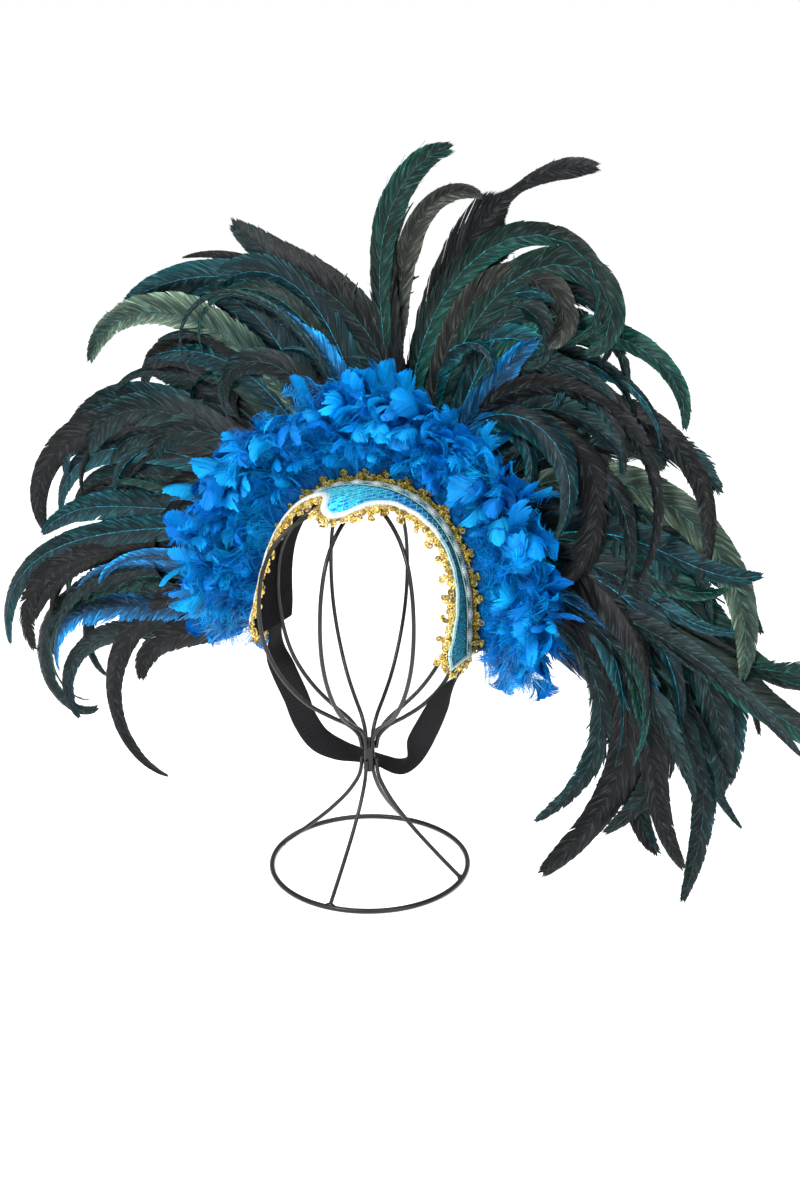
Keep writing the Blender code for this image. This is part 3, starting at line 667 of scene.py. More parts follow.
def lace_run(shape, roots, ways, pitch, rng, size, tone=FRONT_GOLD):
    """Gimp lace: a header of small loops, and a cluster of picots every pitch."""
    # Each loop is painted a random tone between a painted highlight and painted shade (deep)
    painted_highlight, deep = np.array(tone) * (1.55, 1.52, 1.4), np.array(tone) * (0.2, 0.15, 0.07)

    def shade():
        return deep + (painted_highlight - deep) * rng.uniform(0, 1) ** 0.9

    roots, ways = np.asarray(roots), unit(np.asarray(ways))
    travel = travelled(roots)

    def read(place, table):
        return np.array([np.interp(place, travel, table[:, axis]) for axis in range(3)])

    def at(place):
        way = unit(read(place, ways))
        run = unit(read(place + 1 * MM, roots) - read(place - 1 * MM, roots))
        return read(place, roots), run, unit(way - run * (way @ run))

    whole = max(1, round(travel[-1] / pitch))
    pitch = travel[-1] / whole
    for place in np.arange(0.8 * MM, travel[-1], HEADER_PITCH):
        point, run, way = at(place)
        loop(shape, point + way * rng.uniform(0.6, 1.6) * MM, run, way, rng.uniform(1.1, 1.6) * MM,
             HEADER_THREAD, 1.0, shade())
    for number in range(whole):
        point, run, way = at((number + 0.5) * pitch)
        thick = np.cross(run, way)
        beads = [(rng.uniform(-80, 80), rng.uniform(1.0, 3.2)) for _ in range(5)]
        for lobe, reach in LOBES:
            beads += [(lobe + rng.uniform(-17, 17), rng.uniform(0.45, 1.0) * reach * size) for _ in range(6)]
        for turn_deg, reach in beads:
            turn = math.radians(turn_deg)
            out = way * math.cos(turn) + run * math.sin(turn)
            lift = rng.uniform(-1.1, 1.1)
            tilt = unit(out + thick * rng.uniform(-0.9, 0.9))
            loop(shape, point + out * reach * MM + thick * lift * MM, tilt, unit(np.cross(tilt, thick)),
                 rng.uniform(1.15, 1.8) * MM, PICOT_THREAD, rng.uniform(0.75, 1.0), shade())


def make_gold():
    finish = gold_finish()
    rng = np.random.default_rng(GOLD_SEED)
    front = Shape()
    seats, roots, normals = edge_line(-1.2 * MM, FRONT, -1 * MM)
    inward = 0.85 - 0.7 * np.exp(-(seats / (34 * MM)) ** 2)
    lace_run(front, roots, -inward[:, None] * normals - 0.53 * BACK, 15.5 * MM, rng, 1.3)
    front.make("gold_picots_front", finish, "gold_lace_front")
    rear = Shape()
    _, roots, normals = edge_line(2.4 * MM, TRIM, 0.6 * MM)
    lace_run(rear, roots, normals - 0.1 * BACK, 16.5 * MM, rng, 1.25, SHADED_REAR_GOLD)
    rear.make("gold_picots_rear", finish, "gold_lace_rear")
    feet = Shape()
    for side in (-1, 1):
        roots = foot_line(side, 0.2 * MM) - UP * 1.4 * MM
        lace_run(feet, roots, np.broadcast_to(-UP, roots.shape), 12.5 * MM, rng, 1.15)
    feet.make("gold_picots_ends", finish, "gold_lace_right_end", "gold_lace_left_end")


# Feathers

QUILL_SIDES = 4
VANE_COLUMNS = 4
# The blade goes on a little past the quill's end
TAIL = 0.1
LAST_CLUMP = 0.985


def feather(shape, line, across, width, clumps, rng, tint, profile, lean, droop, ragged, splits, split_size,
            start, overlap, point, patchy, quill=0.0, quill_tint=None, quill_points=17):
    """A quill along line with a vane of barb clumps on each side.

    across is the direction over the blade at each point of the line. For each
    unit that a barb runs outwards, it runs lean towards the tip and sinks by
    droop. Clumps differ in length by ragged and in brightness by patchy. The
    splits part them into groups, which shift by split_size. overlap is a
    clump's width, point what its tip keeps of that, and start a part of the
    length.
    """
    count = len(line)
    length = np.linalg.norm(np.diff(line, axis=0), axis=1).sum()
    runs = unit(np.gradient(line, axis=0))
    across = unit(across - runs * (across * runs).sum(1, keepdims=True))
    face = np.cross(runs, across)
    places = np.linspace(0, 1, count)
    ends = np.concatenate([places, [1 + TAIL]])
    stack = np.concatenate([np.c_[line, across, face],
                            np.r_[line[-1] + runs[-1] * length * TAIL, across[-1], face[-1]][None]])
    base = start + (1 - start) * (np.arange(clumps) + 0.5) / clumps * LAST_CLUMP
    half = (1 - start) / clumps / 2
    q = np.linspace(0, 1, VANE_COLUMNS)
    for side in (-1, 1):
        jitter = base + rng.uniform(-0.4, 0.4, clumps) * half
        full = width / 2 * profile(jitter) * rng.uniform(1 - ragged, 1 + ragged * 0.4, clumps)
        group = np.sort(rng.uniform(0, 1, splits))
        member = np.searchsorted(group, jitter)
        shift = rng.uniform(-1, 1, splits + 1)[member] * split_size
        lift = rng.uniform(-1, 1, splits + 1)[member] * 0.14 + rng.uniform(-0.06, 0.06, clumps)
        shade = (rng.uniform(1 - patchy, 1 + patchy, splits + 1)[member]
                 * rng.uniform(1 - patchy, 1 + patchy, clumps))
        out = full[:, None] * q
        ahead = (full * lean)[:, None] * q ** 1.25 + (shift * full)[:, None] * 2.2 * q**2
        centre = jitter[:, None] + ahead / length
        spread = half * overlap * (1 - (1 - point) * q**3)[None, :]
        rise = -droop * full[:, None] * q**2 + (lift * full)[:, None] * q
        rows = []
        for sign in (-1, 1):
            at = np.minimum(centre + sign * spread, 1 + TAIL)
            frame_at = np.stack([np.interp(at, ends, stack[:, axis]) for axis in range(9)], -1)
            rows.append(frame_at[..., :3] + side * out[..., None] * frame_at[..., 3:6]
                        + (rise + sign * 0.00008)[..., None] * frame_at[..., 6:9])
        points = np.stack(rows, 2)
        at, at_q = (np.broadcast_to(a, points.shape[:3]) for a in (jitter[:, None, None], q[:, None]))
        tints = tint(at, at_q, side) * shade[:, None, None, None]
        along = (jitter[:, None, None] + np.array([-1, 1]) * half * overlap) * length
        shape.add(points, strip_quads(clumps, VANE_COLUMNS), tints.reshape(-1, 3),
                  paired(along + side * 0.31, at_q))
    if quill:
        pick = np.linspace(0, count - 1, min(count, quill_points)).astype(int)
        radii = quill * (1 - 0.8 * places[pick])
        tube(shape, line[pick] + face[pick] * 0.0002, radii, QUILL_SIDES, tints=quill_tint, hint=face[0])


# Coque fan

LAYER_FIRST = 17.7 * MM
LAYER_STEP = 0.5 * MM
LAYER_SPREAD = 2.0 * MM
SPREAD_PART = 0.3
SEAT_OUT = 4.0 * MM
LOOKS = {
    # look: blade colour, edge colour, quill colour, whose cyan is a painted highlight along the quill
    "black": ((0.0017, 0.0022, 0.0025), (0.015, 0.018, 0.019), (0.006, 0.02, 0.024)),
    "dark": ((0.0017, 0.005, 0.0058), (0.008, 0.047, 0.051), (0.008, 0.08, 0.09)),
    "teal": ((0.001, 0.012, 0.017), (0.003, 0.086, 0.105), (0.01, 0.24, 0.33)),
    "green": ((0.0012, 0.014, 0.011), (0.007, 0.092, 0.072), (0.01, 0.15, 0.15)),
    "blue": ((0.002, 0.012, 0.024), (0.0, 0.31, 0.8), (0.004, 0.06, 0.14)),
    "pale": ((0.005, 0.025, 0.021), (0.205, 0.3, 0.205), (0.03, 0.13, 0.11)),
    "grey": ((0.005, 0.007, 0.006), (0.066, 0.072, 0.058), (0.04, 0.05, 0.044)),
    "brown": ((0.005, 0.0045, 0.004), (0.027, 0.024, 0.019), (0.03, 0.024, 0.02)),
}
FEATHERS = (
    # seat, layer, length, heading, bend, curl, width, sweep, look
    (-140, 0, 335, 177, 100, 80, 15, 0, "black"),
    (-135, 3, 305, 221, -70, 170, 16, 0, "dark"),
    (-130, 1, 285, 221, -90, 170, 18, 0, "blue"),
    (-120, 4, 395, 198, -20, 230, 20, 0, "dark"),
    (-110, 2, 330, 195, -30, 150, 21, 0, "black"),
    (-100, 0, 360, 181, 20, 80, 16, 0, "teal"),
    (-95, 3, 255, 178, 5, 40, 21, 0, "teal"),
    (-85, 4, 245, 178, -15, 80, 20, 0, "dark"),
    (-75, 2, 285, 160, 30, 80, 21, 0, "teal"),
    (-70, 1, 335, 151, 50, 100, 23, 0, "black"),
    (-65, 0, 240, 150, 20, 90, 21, 0, "dark"),
    (-60, 3, 295, 148, 40, 90, 25, 0, "teal"),
    (-50, 2, 230, 137, 5, 150, 23, 0, "black"),
    (-45, 4, 210, 147, -50, 100, 21, 0, "dark"),
    (-40, 1, 290, 118, 65, 70, 25, 0, "pale"),
    (-30, 3, 205, 127, -15, 100, 21, 0, "teal"),
    (-25, 0, 285, 92, 100, 170, 5, -10, "dark"),
    (-20, 4, 305, 84, 140, -10, 20, 0, "teal"),
    (-15, 2, 220, 93, 55, 70, 21, 0, "teal"),
    (-8, 0, 250, 58, 165, -80, 25, 10, "dark"),
    (0, 1, 262, 87, 22, -112, 16, 0, "green"),
    (5, -0.3, 242, 84, 20, -125, 15, 0, "grey"),
    (10, 1, 294, 84, -34, -54, 28, 0, "black"),
    (15, 3, 205, 80, -14, -50, 24, 0, "black"),
    (22, 0, 335, 99, -90, -170, 15, -20, "green"),
    (30, 0.6, 258, 86, -35, -205, 17, -22, "grey"),
    (34, 1, 300, 86, -55, -190, 18, -20, "green"),
    (37, -1.6, 142, 61, -5, -25, 18, 0, "blue"),
    (41, 0, 240, 71, -5, -140, 16, 0, "teal"),
    (43, 4, 255, 106, -185, -10, 20, -30, "dark"),
    (49, 1, 295, 94, -130, -60, 16, -10, "green"),
    (52, 3, 215, 78, -115, -40, 20, 0, "dark"),
    (56, 0, 320, 99, -225, 10, 13, -40, "black"),
    (60, 4, 312, 81, -175, -10, 15, -35, "black"),
    (70, 2, 220, 55, -75, -30, 23, 0, "dark"),
    (76, 3, 305, 49, -130, -20, 20, -25, "pale"),
    (94, 4, 320, 42, -165, 30, 23, -25, "teal"),
    (100, 2, 280, 40, -155, 140, 21, -25, "green"),
    (105, 0, 290, 31, -135, 10, 23, -35, "dark"),
    (109, 3, 265, 29, -160, 80, 21, -30, "dark"),
    (113, 1, 322, 25, -130, 150, 20, -45, "green"),
    (117, 4, 335, 23, -160, 40, 20, -50, "dark"),
    (121, 0, 265, 12, -60, 20, 13, -55, "dark"),
    (125, 2, 295, 35, -185, 10, 21, -35, "dark"),
    (128, 3, 275, 28, -160, 100, 10, -35, "dark"),
    (132, 1, 270, 28, -190, 130, 18, -35, "black"),
    (136, 0, 295, 26, -210, 50, 20, -30, "black"),
    (140, 4, 165, -19, -5, -90, 16, -20, "blue"),
)
# The looks of a feather's fillers, where None leaves the look to the draw
ALL_FILLERS = (None, None, None)
FILLER_LOOKS = ("black",) * 3 + ("dark",) * 4 + ("teal",) * 3 + ("green",) * 3 + ("brown",)
ACCENTS = (
    # Feathers that show between the others, with the same columns
    (-13, 0.4, 160, 99, 45, 30, 17, 0, "blue"),
    (-62, 0.2, 150, 156, 10, 20, 7, 0, "blue"),
    (-62, 3.5, 230, 150, 30, 60, 28, 0, "black"),
    (-55, 4.0, 235, 143, 15, 90, 28, 0, "dark"),
    (42, -1.2, 150, 57, -20, -50, 22, 0, "blue"),
    (33, 2.6, 206, 66, -10, -20, 18, -10, "blue"),
    (48, -0.6, 120, 60, -30, -60, 16, 0, "blue"),
    (66, -0.4, 100, 32, -25, -30, 10, 0, "blue"),
    (122, -1.6, 215, 24, -120, 30, 9, -20, "blue"),
    (80, 3.5, 225, 40, -70, -40, 28, 0, "dark"),
    (88, 4.5, 240, 34, -90, 0, 28, 0, "teal"),
    (85, 3.0, 190, 28, -50, -60, 26, 0, "black"),
    (92, 2.5, 200, 30, -80, -30, 26, 0, "dark"),
    (-133, -0.5, 215, 190, -22, 60, 17, 0, "blue"),
    (-131, -0.8, 190, 184, -14, 70, 14, 0, "blue"),
    (-96, -0.2, 110, 172, -10, 40, 12, 0, "blue"),
)
THIN_SEATS = (
    # Where fewer fillers let light show between the feathers: from seat, to seat, the fillers' looks
    (-141, -134, ("black",)),
    (-1, 16, ("black",)),
    (20, 51, ("teal", "dark")),
    (131, 137, ("dark",)),
    (139, 141, ()),
)
# Seats of the feathers that are drawn in below their tips, that have bare stems, round tips or few splits
NECKED_SEATS = (10,)
STEMMED_SEATS = (0, 5)
ROUND_SEATS = (-100, -65, -15, 0, 5, 10, 30, 52, 113, 136)
NEAT_SEATS = (*ROUND_SEATS, -8)
NECK = 0.78
STEM = 0.55
# How full a feather is: one with its own row, an accent, and a filler between them
MAIN_SHARE, ACCENT_SHARE, FILLER_SHARE = 1.0, 0.9, 0.8
FAN_SEED = 23
FAN_SHAPES = 4
SEAT_LIMIT = 148
QUILL_RADIUS = 0.7 * MM
LOOSE_BARBS = {"start": 0.03, "lean": 1.7, "droop": 0.34, "splits": 9, "patchy": 0.4, "ragged": 0.3,
               "split_size": 0.5, "overlap": 0.25, "point": 0.2}
# The folded tape's outline: behind the trim line, out from the cover (mm)
TAPE_OUTLINE = ((15.8, 0.6), (15.6, 1.2), (16.0, 10.6), (16.8, 11.4),
                (18.0, 11.4), (18.8, 10.6), (19.2, 1.2), (19.0, 0.6))
TAPE_ROWS = 300
STITCH_PITCH = 4.2 * MM


def coque_profile(narrow, fullness, neck, stem):
    """Widths along a blade; a narrow one draws in past its middle, a full one ends round."""
    def read(part):
        part = np.clip(part, 0, 1)
        late = np.clip((part - 0.5) / 0.3, 0, 1)
        body = np.minimum(1, 0.3 + 2.4 * part) * (1 - part**fullness) ** 0.75
        body = body * (1 - stem * np.clip((0.62 - part) / 0.3, 0, 1))
        drawn = np.clip((part - 0.53) / 0.23, 0, 1)
        pinch = neck * drawn * drawn * (3 - 2 * drawn) * (1 - 0.4 * np.clip((part - 0.78) / 0.1, 0, 1))
        return body * (1 - narrow * late * late * (3 - 2 * late)) * np.maximum(0.2, 1 - pinch)

    return read


def coque_line(seat, layer, length, heading, bend, curl, sweep):
    points = 49
    root = by_trim(seat, LAYER_FIRST + (layer - 2) * LAYER_STEP, SEAT_OUT)[0]
    fine = np.linspace(0, 1, points)
    turn = np.radians(heading + bend * fine + curl * fine**4)
    step = length / (points - 1)
    middle = (turn[1:] + turn[:-1]) / 2
    x = root[0] + np.concatenate([[0], np.cumsum(np.cos(middle))]) * step
    z = root[2] + np.concatenate([[0], np.cumsum(np.sin(middle))]) * step
    y = root[1] + sweep * fine**2 + layer * LAYER_SPREAD * np.minimum(1, fine / SPREAD_PART)
    return fine, np.stack([x, y, z], 1), turn


def coque_tint(look, rng):
    """Dark along the quill, with the look's colour in patches and at the rim."""
    blade, rim, _ = (np.array(c) for c in LOOKS[look])
    phase, pace = rng.uniform(0, 6.3), rng.uniform(3, 9)
    strong, uneven = rng.uniform(0.75, 1.3), rng.uniform(-0.4, 0.4) * (2.0 if look == "pale" else 1.0)
    strong = max(strong, 1.15) if look == "blue" else strong

    def tint(part, q, side):
        wave = 0.5 + 0.5 * np.sin(part * pace + phase + 0.8 * side)
        amount = 0.05 + (0.25 + 0.75 * wave) * (0.12 + 0.95 * q**2.2) + uneven * side * q
        amount = np.clip(amount, 0, 1)[..., None]
        colour = blade * (1 - amount) + rim * amount
        dark_root = np.clip(0.3 + part * (0.9 if look == "grey" else 2.4), 0, 1)[..., None]
        return colour * dark_root * strong

    return tint


def coque_rows(rng):
    """All feathers of the fan, with fillers that follow each table row loosely."""
    rows = []
    for row in FEATHERS:
        seat, layer, length, heading, bend, curl, _, sweep, _ = row
        rows.append((*row, MAIN_SHARE))
        looks = next((kept for first, last, kept in THIN_SEATS if first < seat < last), ALL_FILLERS)
        for number in range(len(ALL_FILLERS)):
            near = np.clip(seat + rng.normal(0, 5), -SEAT_LIMIT, SEAT_LIMIT)
            filler = (near, layer + rng.uniform(0.4, 2.6),
                      length * rng.uniform(0.58, 0.93), heading + rng.normal(0, 6),
                      bend * rng.uniform(0.7, 1.15) + rng.normal(0, 8), curl * rng.uniform(0.5, 1.1),
                      rng.uniform(17, 30), sweep * rng.uniform(0.5, 1))
            look = FILLER_LOOKS[rng.integers(len(FILLER_LOOKS))]
            if number < len(looks):
                rows.append((*filler, looks[number] or look, FILLER_SHARE))
    return rows + [(*row, ACCENT_SHARE) for row in ACCENTS]


def make_fan():
    shapes = [Shape() for _ in range(FAN_SHAPES)]
    rows = coque_rows(np.random.default_rng(FAN_SEED))
    for number, (seat, layer, length, heading, bend, curl, width, sweep, look, share) in enumerate(rows):
        # Each feather draws from its own numbers, so that one more or less leaves the others alone
        rng = np.random.default_rng((FAN_SEED, int(10 * seat + 2000), int(10 * length)))
        fine, line, turn = coque_line(seat * MM, layer, length * MM, heading, bend, curl, sweep * MM)
        runs = np.stack([np.cos(turn), 0 * turn, np.sin(turn)], 1)
        level = np.cross(runs, BACK)
        main, placed = share == MAIN_SHARE, share > FILLER_SHARE
        roll = (math.radians(rng.normal(0, 6 if placed else 16))
                + math.radians(rng.normal(0, 18 if placed else 42)) * fine**2)
        across = swung(level, BACK, roll)
        sway = 2.6 * MM * np.sin(fine * rng.uniform(5, 11) + rng.uniform(0, 6)) * fine
        line = line + level * sway[:, None] + BACK * (5 * MM * rng.normal(0, 1) * fine**2)[:, None]
        tint = coque_tint(look, rng)
        shape = shapes[number % FAN_SHAPES]
        clumps = int(104 * share * length / 280)
        narrow = rng.uniform(0, 0.3) if main else rng.uniform(0.1, 0.75)
        fullness = 8 if main and seat in ROUND_SEATS else rng.uniform(3, 6.5)
        profile = coque_profile(narrow, fullness, NECK * (main and seat in NECKED_SEATS),
                                STEM * (main and seat in STEMMED_SEATS))
        frayed = rng.uniform(0, 1) ** 3 * (0.2 if main and seat in NEAT_SEATS else 1)
        width = width * (1.38 if main else 1.0)
        # The quill takes its look's quill colour, a painted highlight
        feather(shape, line, across, width * MM, clumps, rng, tint, profile, lean=1.9, droop=0.34,
                ragged=0.03 + 0.17 * frayed, splits=7 + int(6 * frayed), split_size=0.14 + 0.36 * frayed,
                start=0.03, overlap=2.2 - 0.8 * frayed, point=0.85 - 0.45 * frayed, patchy=0.32,
                quill=QUILL_RADIUS, quill_tint=LOOKS[look][2])
        # Loose single barbs past the blade's edge
        feather(shape, line, across, width * 1.08 * MM, int(clumps * 0.25), rng, tint, profile, **LOOSE_BARBS)
    make_numbered(shapes, "coque_plumes", coque_finish(), "coque_fan")


def make_tape():
    """The folded tape that the quills are sewn into, and its stitches."""
    tape = Shape()
    seats = seats_along(4 * MM, TAPE_ROWS)
    ripple = 0.25 * MM * np.sin(np.arange(TAPE_ROWS) * 0.9)
    rings = np.stack([by_trim(seats, behind * MM, out * MM + ripple * (out > 5))[0]
                      for behind, out in TAPE_OUTLINE], 1)
    tape.add_wall(rings, seats, np.arange(len(TAPE_OUTLINE)) * MM)
    for seat in np.arange(-ARCH_END + 8 * MM, ARCH_END - 8 * MM, STITCH_PITCH):
        places = seat + np.array([0, 1.2 * MM, 2.4 * MM])
        tube(tape, by_trim(places, 19.3 * MM, 7.5 * MM)[0], 0.3 * MM, 4)
    tape.make("fan_tape", felt_finish())


# Boa

BOA_SEED = 31
BOA_CURLED = 350
BOA_FLUFF = 430
BOA_DOWN = 520
BOA_BLUES = np.array([(0.0, 0.3, 0.78), (0.0, 0.37, 0.85), (0.003, 0.48, 0.94), (0.0, 0.21, 0.66)])
BOA_WISP = np.array([0.3, 0.75, 1.00])
BOA_REACH = 48 * MM
BOA_ROWS = 260
DOWN_HAIRS = 46
DOWN_POINTS = 4
BOA_CRESTS = (
    # Broad curled feathers that stand over the roll: seat, out, length, lean, curl, width (mm and degrees)
    (-34, 50, 40, -6, 40, 13),
    (-24, 50, 36, -22, 80, 17),
    (-10, 50, 32, -4, 70, 16),
    (3, 55, 36, 14, 60, 20),
    (12, 58, 37, 16, 40, 26),
    (19, 57, 35, 12, 50, 20),
    (27, 52, 33, 14, 60, 14),
    (30, 48, 34, 30, 60, 14),
    (44, 46, 36, 36, 80, 16),
    (78, 46, 46, 34, 70, 18),
    (96, 46, 46, 28, 80, 18),
    (-80, 46, 36, -20, 80, 18),
)
CURLED_VANE = {"start": 0.05, "quill_points": 7, "quill": 0.28 * MM, "lean": 1.4, "droop": 0.4, "splits": 4,
               "patchy": 0.14}
FLUFF_VANE = {"start": 0.05, "quill_points": 7, "quill": 0.22 * MM, "lean": 0.6, "droop": 0.9, "splits": 9,
              "patchy": 0.3, "ragged": 0.5, "split_size": 0.9, "overlap": 0.32, "point": 0.12}


def boa_place(rng, low=0.0):
    """A root in the boa's thick roll, and the way that a feather points there."""
    part = rng.uniform(-1, 1)
    seat = part * (ARCH_END - 5 * MM)
    out = rng.uniform(low, 1) * BOA_REACH * (1 + 0.15 * abs(part))
    behind = rng.uniform(4.5, 17) * MM - 0.45 * max(0, out - 14 * MM)
    root, normal = by_trim(seat, behind, 1.5 * MM + out)
    tangent = np.cross(normal, BACK)
    forward = math.radians(rng.uniform(-5, 30 + 45 * out / (46 * MM)))
    way = normal * math.cos(forward) - BACK * math.sin(forward)
    way = unit(way + tangent * rng.normal(0, 0.5))
    beyond = max(0.0, abs(part) - 0.88) / 0.12
    root = root - UP * (20 if part < 0 else 14) * MM * beyond
    return root, unit(way - UP * 0.9 * beyond), normal, seat, beyond


def over_lace(points, seat, normal):
    """Where points stay off the gold lace and the band's face."""
    trim = by_trim(seat, 0, 0)[0]
    out = (points - trim) @ normal
    ahead = np.maximum(0, trim[1] + 3 * MM - points[..., 1])
    return out > 9 * MM * (ahead > 0) + 0.55 * ahead


def boa_profile(part):
    part = np.clip(part, 0, 1)
    return np.minimum(1, 0.35 + 1.7 * part) * (1 - part**3.4) ** 0.7


def boa_tint(blue):
    """Deeper at the root as painted shade inside the roll, brighter at the tip and the rim."""
    def tint(part, q, _):
        return blue * np.clip(0.42 + 0.6 * part + 0.15 * q, 0, 1.25)[..., None]

    return tint


def boa_core(core_shape, pad_shape):
    """The cord that the feathers are tied to, and a thick pad of down inside the roll, both darkened as
    painted shade.
    """
    seats, steps = seats_along(4 * MM, BOA_ROWS), np.arange(BOA_ROWS)
    core = by_trim(seats, 10 * MM, 5.6 * MM)[0]
    tube(core_shape, core, (4.6 + 0.5 * np.sin(steps * 1.1)) * MM, 12, tints=BOA_BLUES[3] * 0.6)
    wave = np.sin(steps * 0.9) + np.sin(steps * 2.3 + 1)
    pad = arch(seats, edge(seats, TRIM) + 8 * MM + 0.8 * MM * wave, 21 * MM)[0]
    tube(pad_shape, pad, (16 + 0.9 * wave) * MM, 16, tints=BOA_BLUES[3] * 0.7, flat=0.28, hint=BACK)


def make_boa():
    finish = boa_finish()
    rng = np.random.default_rng(BOA_SEED)
    curled, fluff = [Shape(), Shape()], [Shape(), Shape()]
    boa_core(*curled)
    fine = np.linspace(0, 1, 13)
    made = 0
    while made < BOA_CURLED + BOA_FLUFF:
        soft = made >= BOA_CURLED
        showy = not soft and made % 4 == 0
        root, way, normal, seat, beyond = boa_place(rng, 0.62 if showy else 0.0)
        length = rng.uniform(28, 47) * MM * (1.15 if showy else 1) * (1 - 0.58 * min(1, beyond))
        fall = unit(np.cross(np.cross(way, -BACK * 0.8 - UP * 0.4 + rng.normal(0, 0.5, 3)), way))
        curl = math.radians(rng.uniform(0, 150)) * fine**1.7
        runs = swung(way, fall, curl)
        line = root + np.cumsum(runs, axis=0) * length / len(fine)
        if not over_lace(line, seat, normal).all():
            continue
        side = unit(np.cross(way, fall))
        roll = math.radians(rng.normal(0, 40))
        blade = side * math.cos(roll) + np.cross(runs, side) * math.sin(roll)
        blue = BOA_BLUES[rng.integers(len(BOA_BLUES))] * rng.uniform(0.8, 1.15) * (1.15 if soft else 1.0)
        if soft:
            feather(fluff[made % 2], line, blade, rng.uniform(16, 28) * MM, 23, rng, boa_tint(blue),
                    boa_profile, quill_tint=blue * 1.3, **FLUFF_VANE)
        else:
            frayed = 0.15 if showy else rng.uniform(0, 1) ** 1.4
            feather(curled[made % 2], line, blade, rng.uniform(14, 25) * MM, 25, rng, boa_tint(blue),
                    boa_profile, quill_tint=blue * 1.3, ragged=0.05 + 0.3 * frayed,
                    split_size=0.2 + 0.5 * frayed, overlap=1.9 - 0.9 * frayed,
                    point=0.5 - 0.4 * frayed, **CURLED_VANE)
        made += 1
    for seat, out, length, lean, curl_angle, width in BOA_CRESTS:
        root, normal = by_trim(seat * MM, -4 * MM, out * MM)
        side = unit(np.cross(normal, BACK))
        way = unit(normal + side * math.tan(math.radians(lean)))
        curl = math.radians(curl_angle) * fine**1.7
        runs = swung(way, -BACK, curl)
        line = root + np.cumsum(runs, axis=0) * length * MM / len(fine)
        blue = BOA_BLUES[1] * rng.uniform(0.95, 1.2)
        feather(curled[made % 2], line, side, width * MM, 26, rng, boa_tint(blue), boa_profile, ragged=0.08,
                split_size=0.25, overlap=1.9, point=0.4, quill_tint=blue * 1.3, **CURLED_VANE)
        made += 1
    make_numbered(curled, "boa_curled", finish, "feather_boa")
    make_numbered(fluff, "boa_fluff", finish)
    down = [Shape(), Shape()]
    for number in range(BOA_DOWN):
        down_tuft(down[number % 2], rng)
    make_numbered(down, "boa_down", finish)


def down_tuft(shape, rng):
    """A tuft of fine hairs; past the boa's ends they hang and turn pale."""
    root, way, normal, seat, beyond = boa_place(rng)
    outer = np.clip((root - by_trim(seat, 0, 0)[0]) @ normal / (50 * MM), 0, 1)
    reach = rng.uniform(12, 30, DOWN_HAIRS)[:, None, None] * MM * (1 - 0.5 * outer**3)
    aim = unit(way + rng.normal(0, 0.75, (DOWN_HAIRS, 3)) - UP * 0.8 * min(1, beyond))
    droop = unit(rng.normal(0, 1, (DOWN_HAIRS, 3)) - UP * 0.4)
    q = np.linspace(0, 1, DOWN_POINTS)[:, None]
    spine = root + aim[:, None] * reach * q + droop[:, None] * reach * 0.5 * q**2
    kept = over_lace(spine, seat, normal).all(1)
    side = unit(np.cross(aim, rng.normal(0, 1, (DOWN_HAIRS, 3))))[:, None]
    wide = np.array([0.26, 0.26, 0.2, 0.03])[:, None] * MM
    points = np.stack([spine - side * wide, spine + side * wide], 2)[kept]
    blue = BOA_BLUES[rng.integers(len(BOA_BLUES))] * rng.uniform(0.9, 1.35)
    pale = min(1, 1.2 * beyond)
    along = q[:, None] * np.ones((len(points), 1, 2, 1))
    # Deeper towards the root: painted shade inside the roll
    tints = blue * (0.5 + 0.6 * along) * (1 - pale * along) + BOA_WISP * pale * along
    shape.add(points, strip_quads(len(points), DOWN_POINTS), tints.reshape(-1, 3))


# Elastic chin strap

STRAP_WIDTH = 20.0 * MM
STRAP_THICKNESS = 1.0 * MM
STRAP_ROWS = 181
STRAP_COLUMNS = 9
STRAP_ROUTE = (
    # x, y, z (mm), turn of its width away from front-to-back (degrees)
    (-79.4, -4, 191.2, 0),
    (-80, -4, 181, 0),
    (-80, -4, 171, 15),
    (-74, -2, 153, 50),
    (-66, 2, 131, 60),
    (-60, 6, 110, 60),
    (-50, 10, 94, 45),
    (-35, 15, 86, 25),
    (-15, 20, 82.5, 5),
    (0, 22, 80.5, 0),
    (10, 21, 80, 5),
    (22, 17, 84, 25),
    (31, 12, 95, 60),
    (39, 8, 109, 85),
    (48, 3, 125, 80),
    (60, -4, 146, 65),
    (70, -8, 162, 40),
    (78, -10, 176, 8),
    (79.4, -10, 191.2, 0),
)


def make_strap():
    rows = np.array(STRAP_ROUTE, float)
    travel = travelled(rows[:, :3])
    line = smooth_table(travel, rows)(np.linspace(0, travel[-1], STRAP_ROWS))
    points, turns = line[:, :3] * MM, np.radians(line[:, 3])
    runs = unit(np.gradient(points, axis=0))
    flat = unit(BACK - runs * runs[:, 1:2])
    wide = swung(flat, np.cross(runs, flat), turns)
    thin = np.cross(runs, wide)
    across = np.concatenate([np.linspace(-1, 1, STRAP_COLUMNS), np.linspace(1, -1, STRAP_COLUMNS)])
    deep = np.repeat([-1.0, 1.0], STRAP_COLUMNS) * (1 - 0.5 * np.abs(across) ** 12)
    rings = (points[:, None] + wide[:, None] * (across * STRAP_WIDTH / 2)[None, :, None]
             + thin[:, None] * (deep * STRAP_THICKNESS / 2)[None, :, None])
    along = travelled(points)
    shape = Shape()
    shape.add_wall(rings, along, across * STRAP_WIDTH / 2)
    strap = shape.make("elastic_strap", elastic_finish(), "chin_strap")


# Floor and light

FLOOR_RADIUS = 60
FLOOR_SIDES = 64
FLOOR_GLOW = 0.62
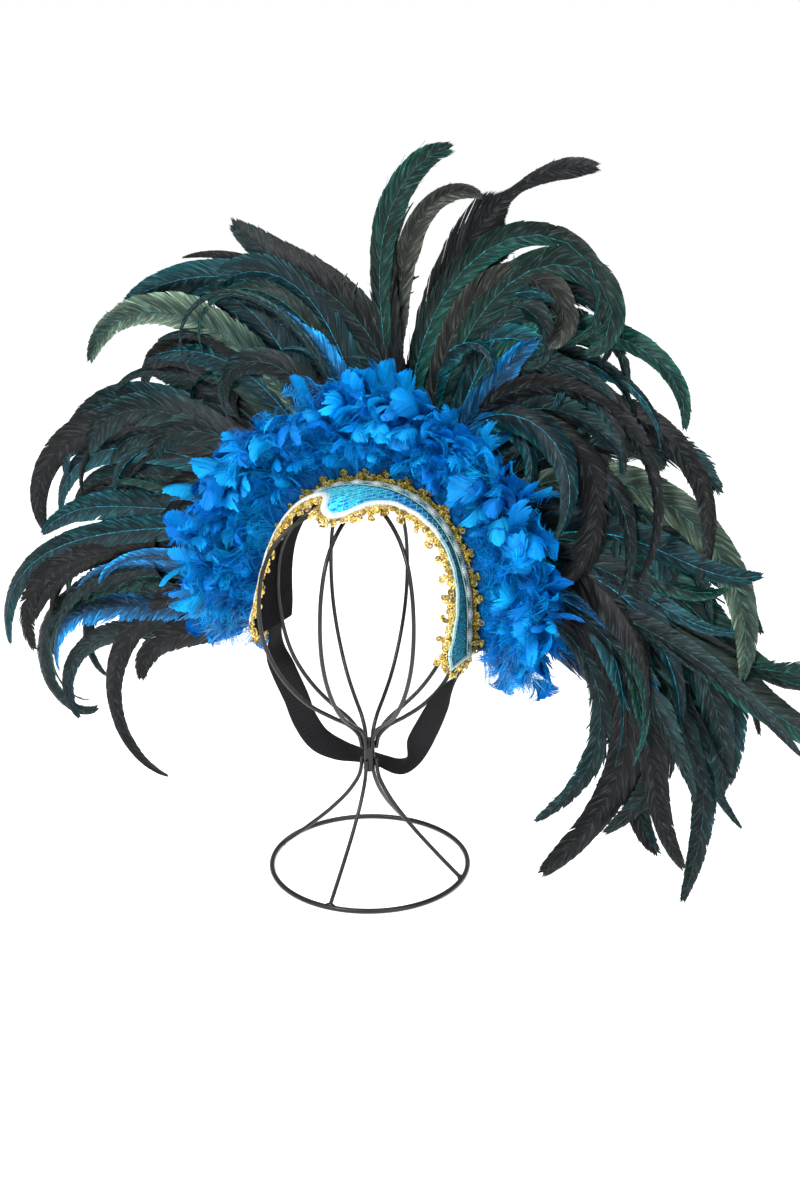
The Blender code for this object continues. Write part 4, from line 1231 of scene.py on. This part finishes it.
# The white surround lights the object less than it shows
WORLD_LIGHT, WORLD_SEEN = 0.42, 1.0
LAMP_AIM = np.array([0, 0, 0.3])
LAMPS = (
    # name, place, power, size
    ("key", (-0.35, -1.8, 2.0), 46, 0.5),
    ("fill", (1.7, -1.2, 1.0), 16, 1.0),
    ("top", (0.2, 0.3, 2.4), 26, 1.0),
)


def make_studio():
    """A plain pale floor that runs on to a white surround, and soft lamps."""
    mesh = bpy.data.meshes.new("floor")
    rim = [(FLOOR_RADIUS * math.cos(a), FLOOR_RADIUS * math.sin(a), 0) for a in round_angles(FLOOR_SIDES)]
    mesh.from_pydata(rim, [], [tuple(range(FLOOR_SIDES))])
    made = mottled("pale_floor", None, 40, (0.88, 0.885, 0.89), (0.92, 0.925, 0.93), Roughness=0.8,
                   Specular_IOR_Level=0.1, Emission_Color=(1, 1, 1, 1), Emission_Strength=FLOOR_GLOW)
    mesh.materials.append(made.material)
    floor = bpy.data.objects.new("floor", mesh)
    bpy.context.scene.collection.objects.link(floor)
    world = bpy.data.worlds.new("studio")
    world.use_nodes = True
    nodes, links = world.node_tree.nodes, world.node_tree.links
    seen = nodes.new("ShaderNodeLightPath")
    level = nodes.new("ShaderNodeMapRange")
    level.inputs["To Min"].default_value = WORLD_LIGHT
    level.inputs["To Max"].default_value = WORLD_SEEN
    links.new(seen.outputs["Is Camera Ray"], level.inputs["Value"])
    links.new(level.outputs[0], nodes["Background"].inputs["Strength"])
    nodes["Background"].inputs["Color"].default_value = (1, 1, 1, 1)
    bpy.context.scene.world = world
    for name, place, power, size in LAMPS:
        lamp = bpy.data.lights.new(name, "AREA")
        lamp.energy = power
        lamp.size = size
        light = bpy.data.objects.new(name, lamp)
        light.location = place
        aim = LAMP_AIM - np.array(place)
        light.rotation_euler = (math.atan2(math.hypot(aim[0], aim[1]), -aim[2]), 0,
                                math.atan2(aim[1], aim[0]) - math.pi / 2)
        bpy.context.scene.collection.objects.link(light)
    bpy.context.scene.view_settings.view_transform = "Standard"


make_camera()
make_studio()
make_strap()
make_stand()
make_band()
make_net()
make_piping()
make_gold()
make_boa()
make_fan()
make_tape()
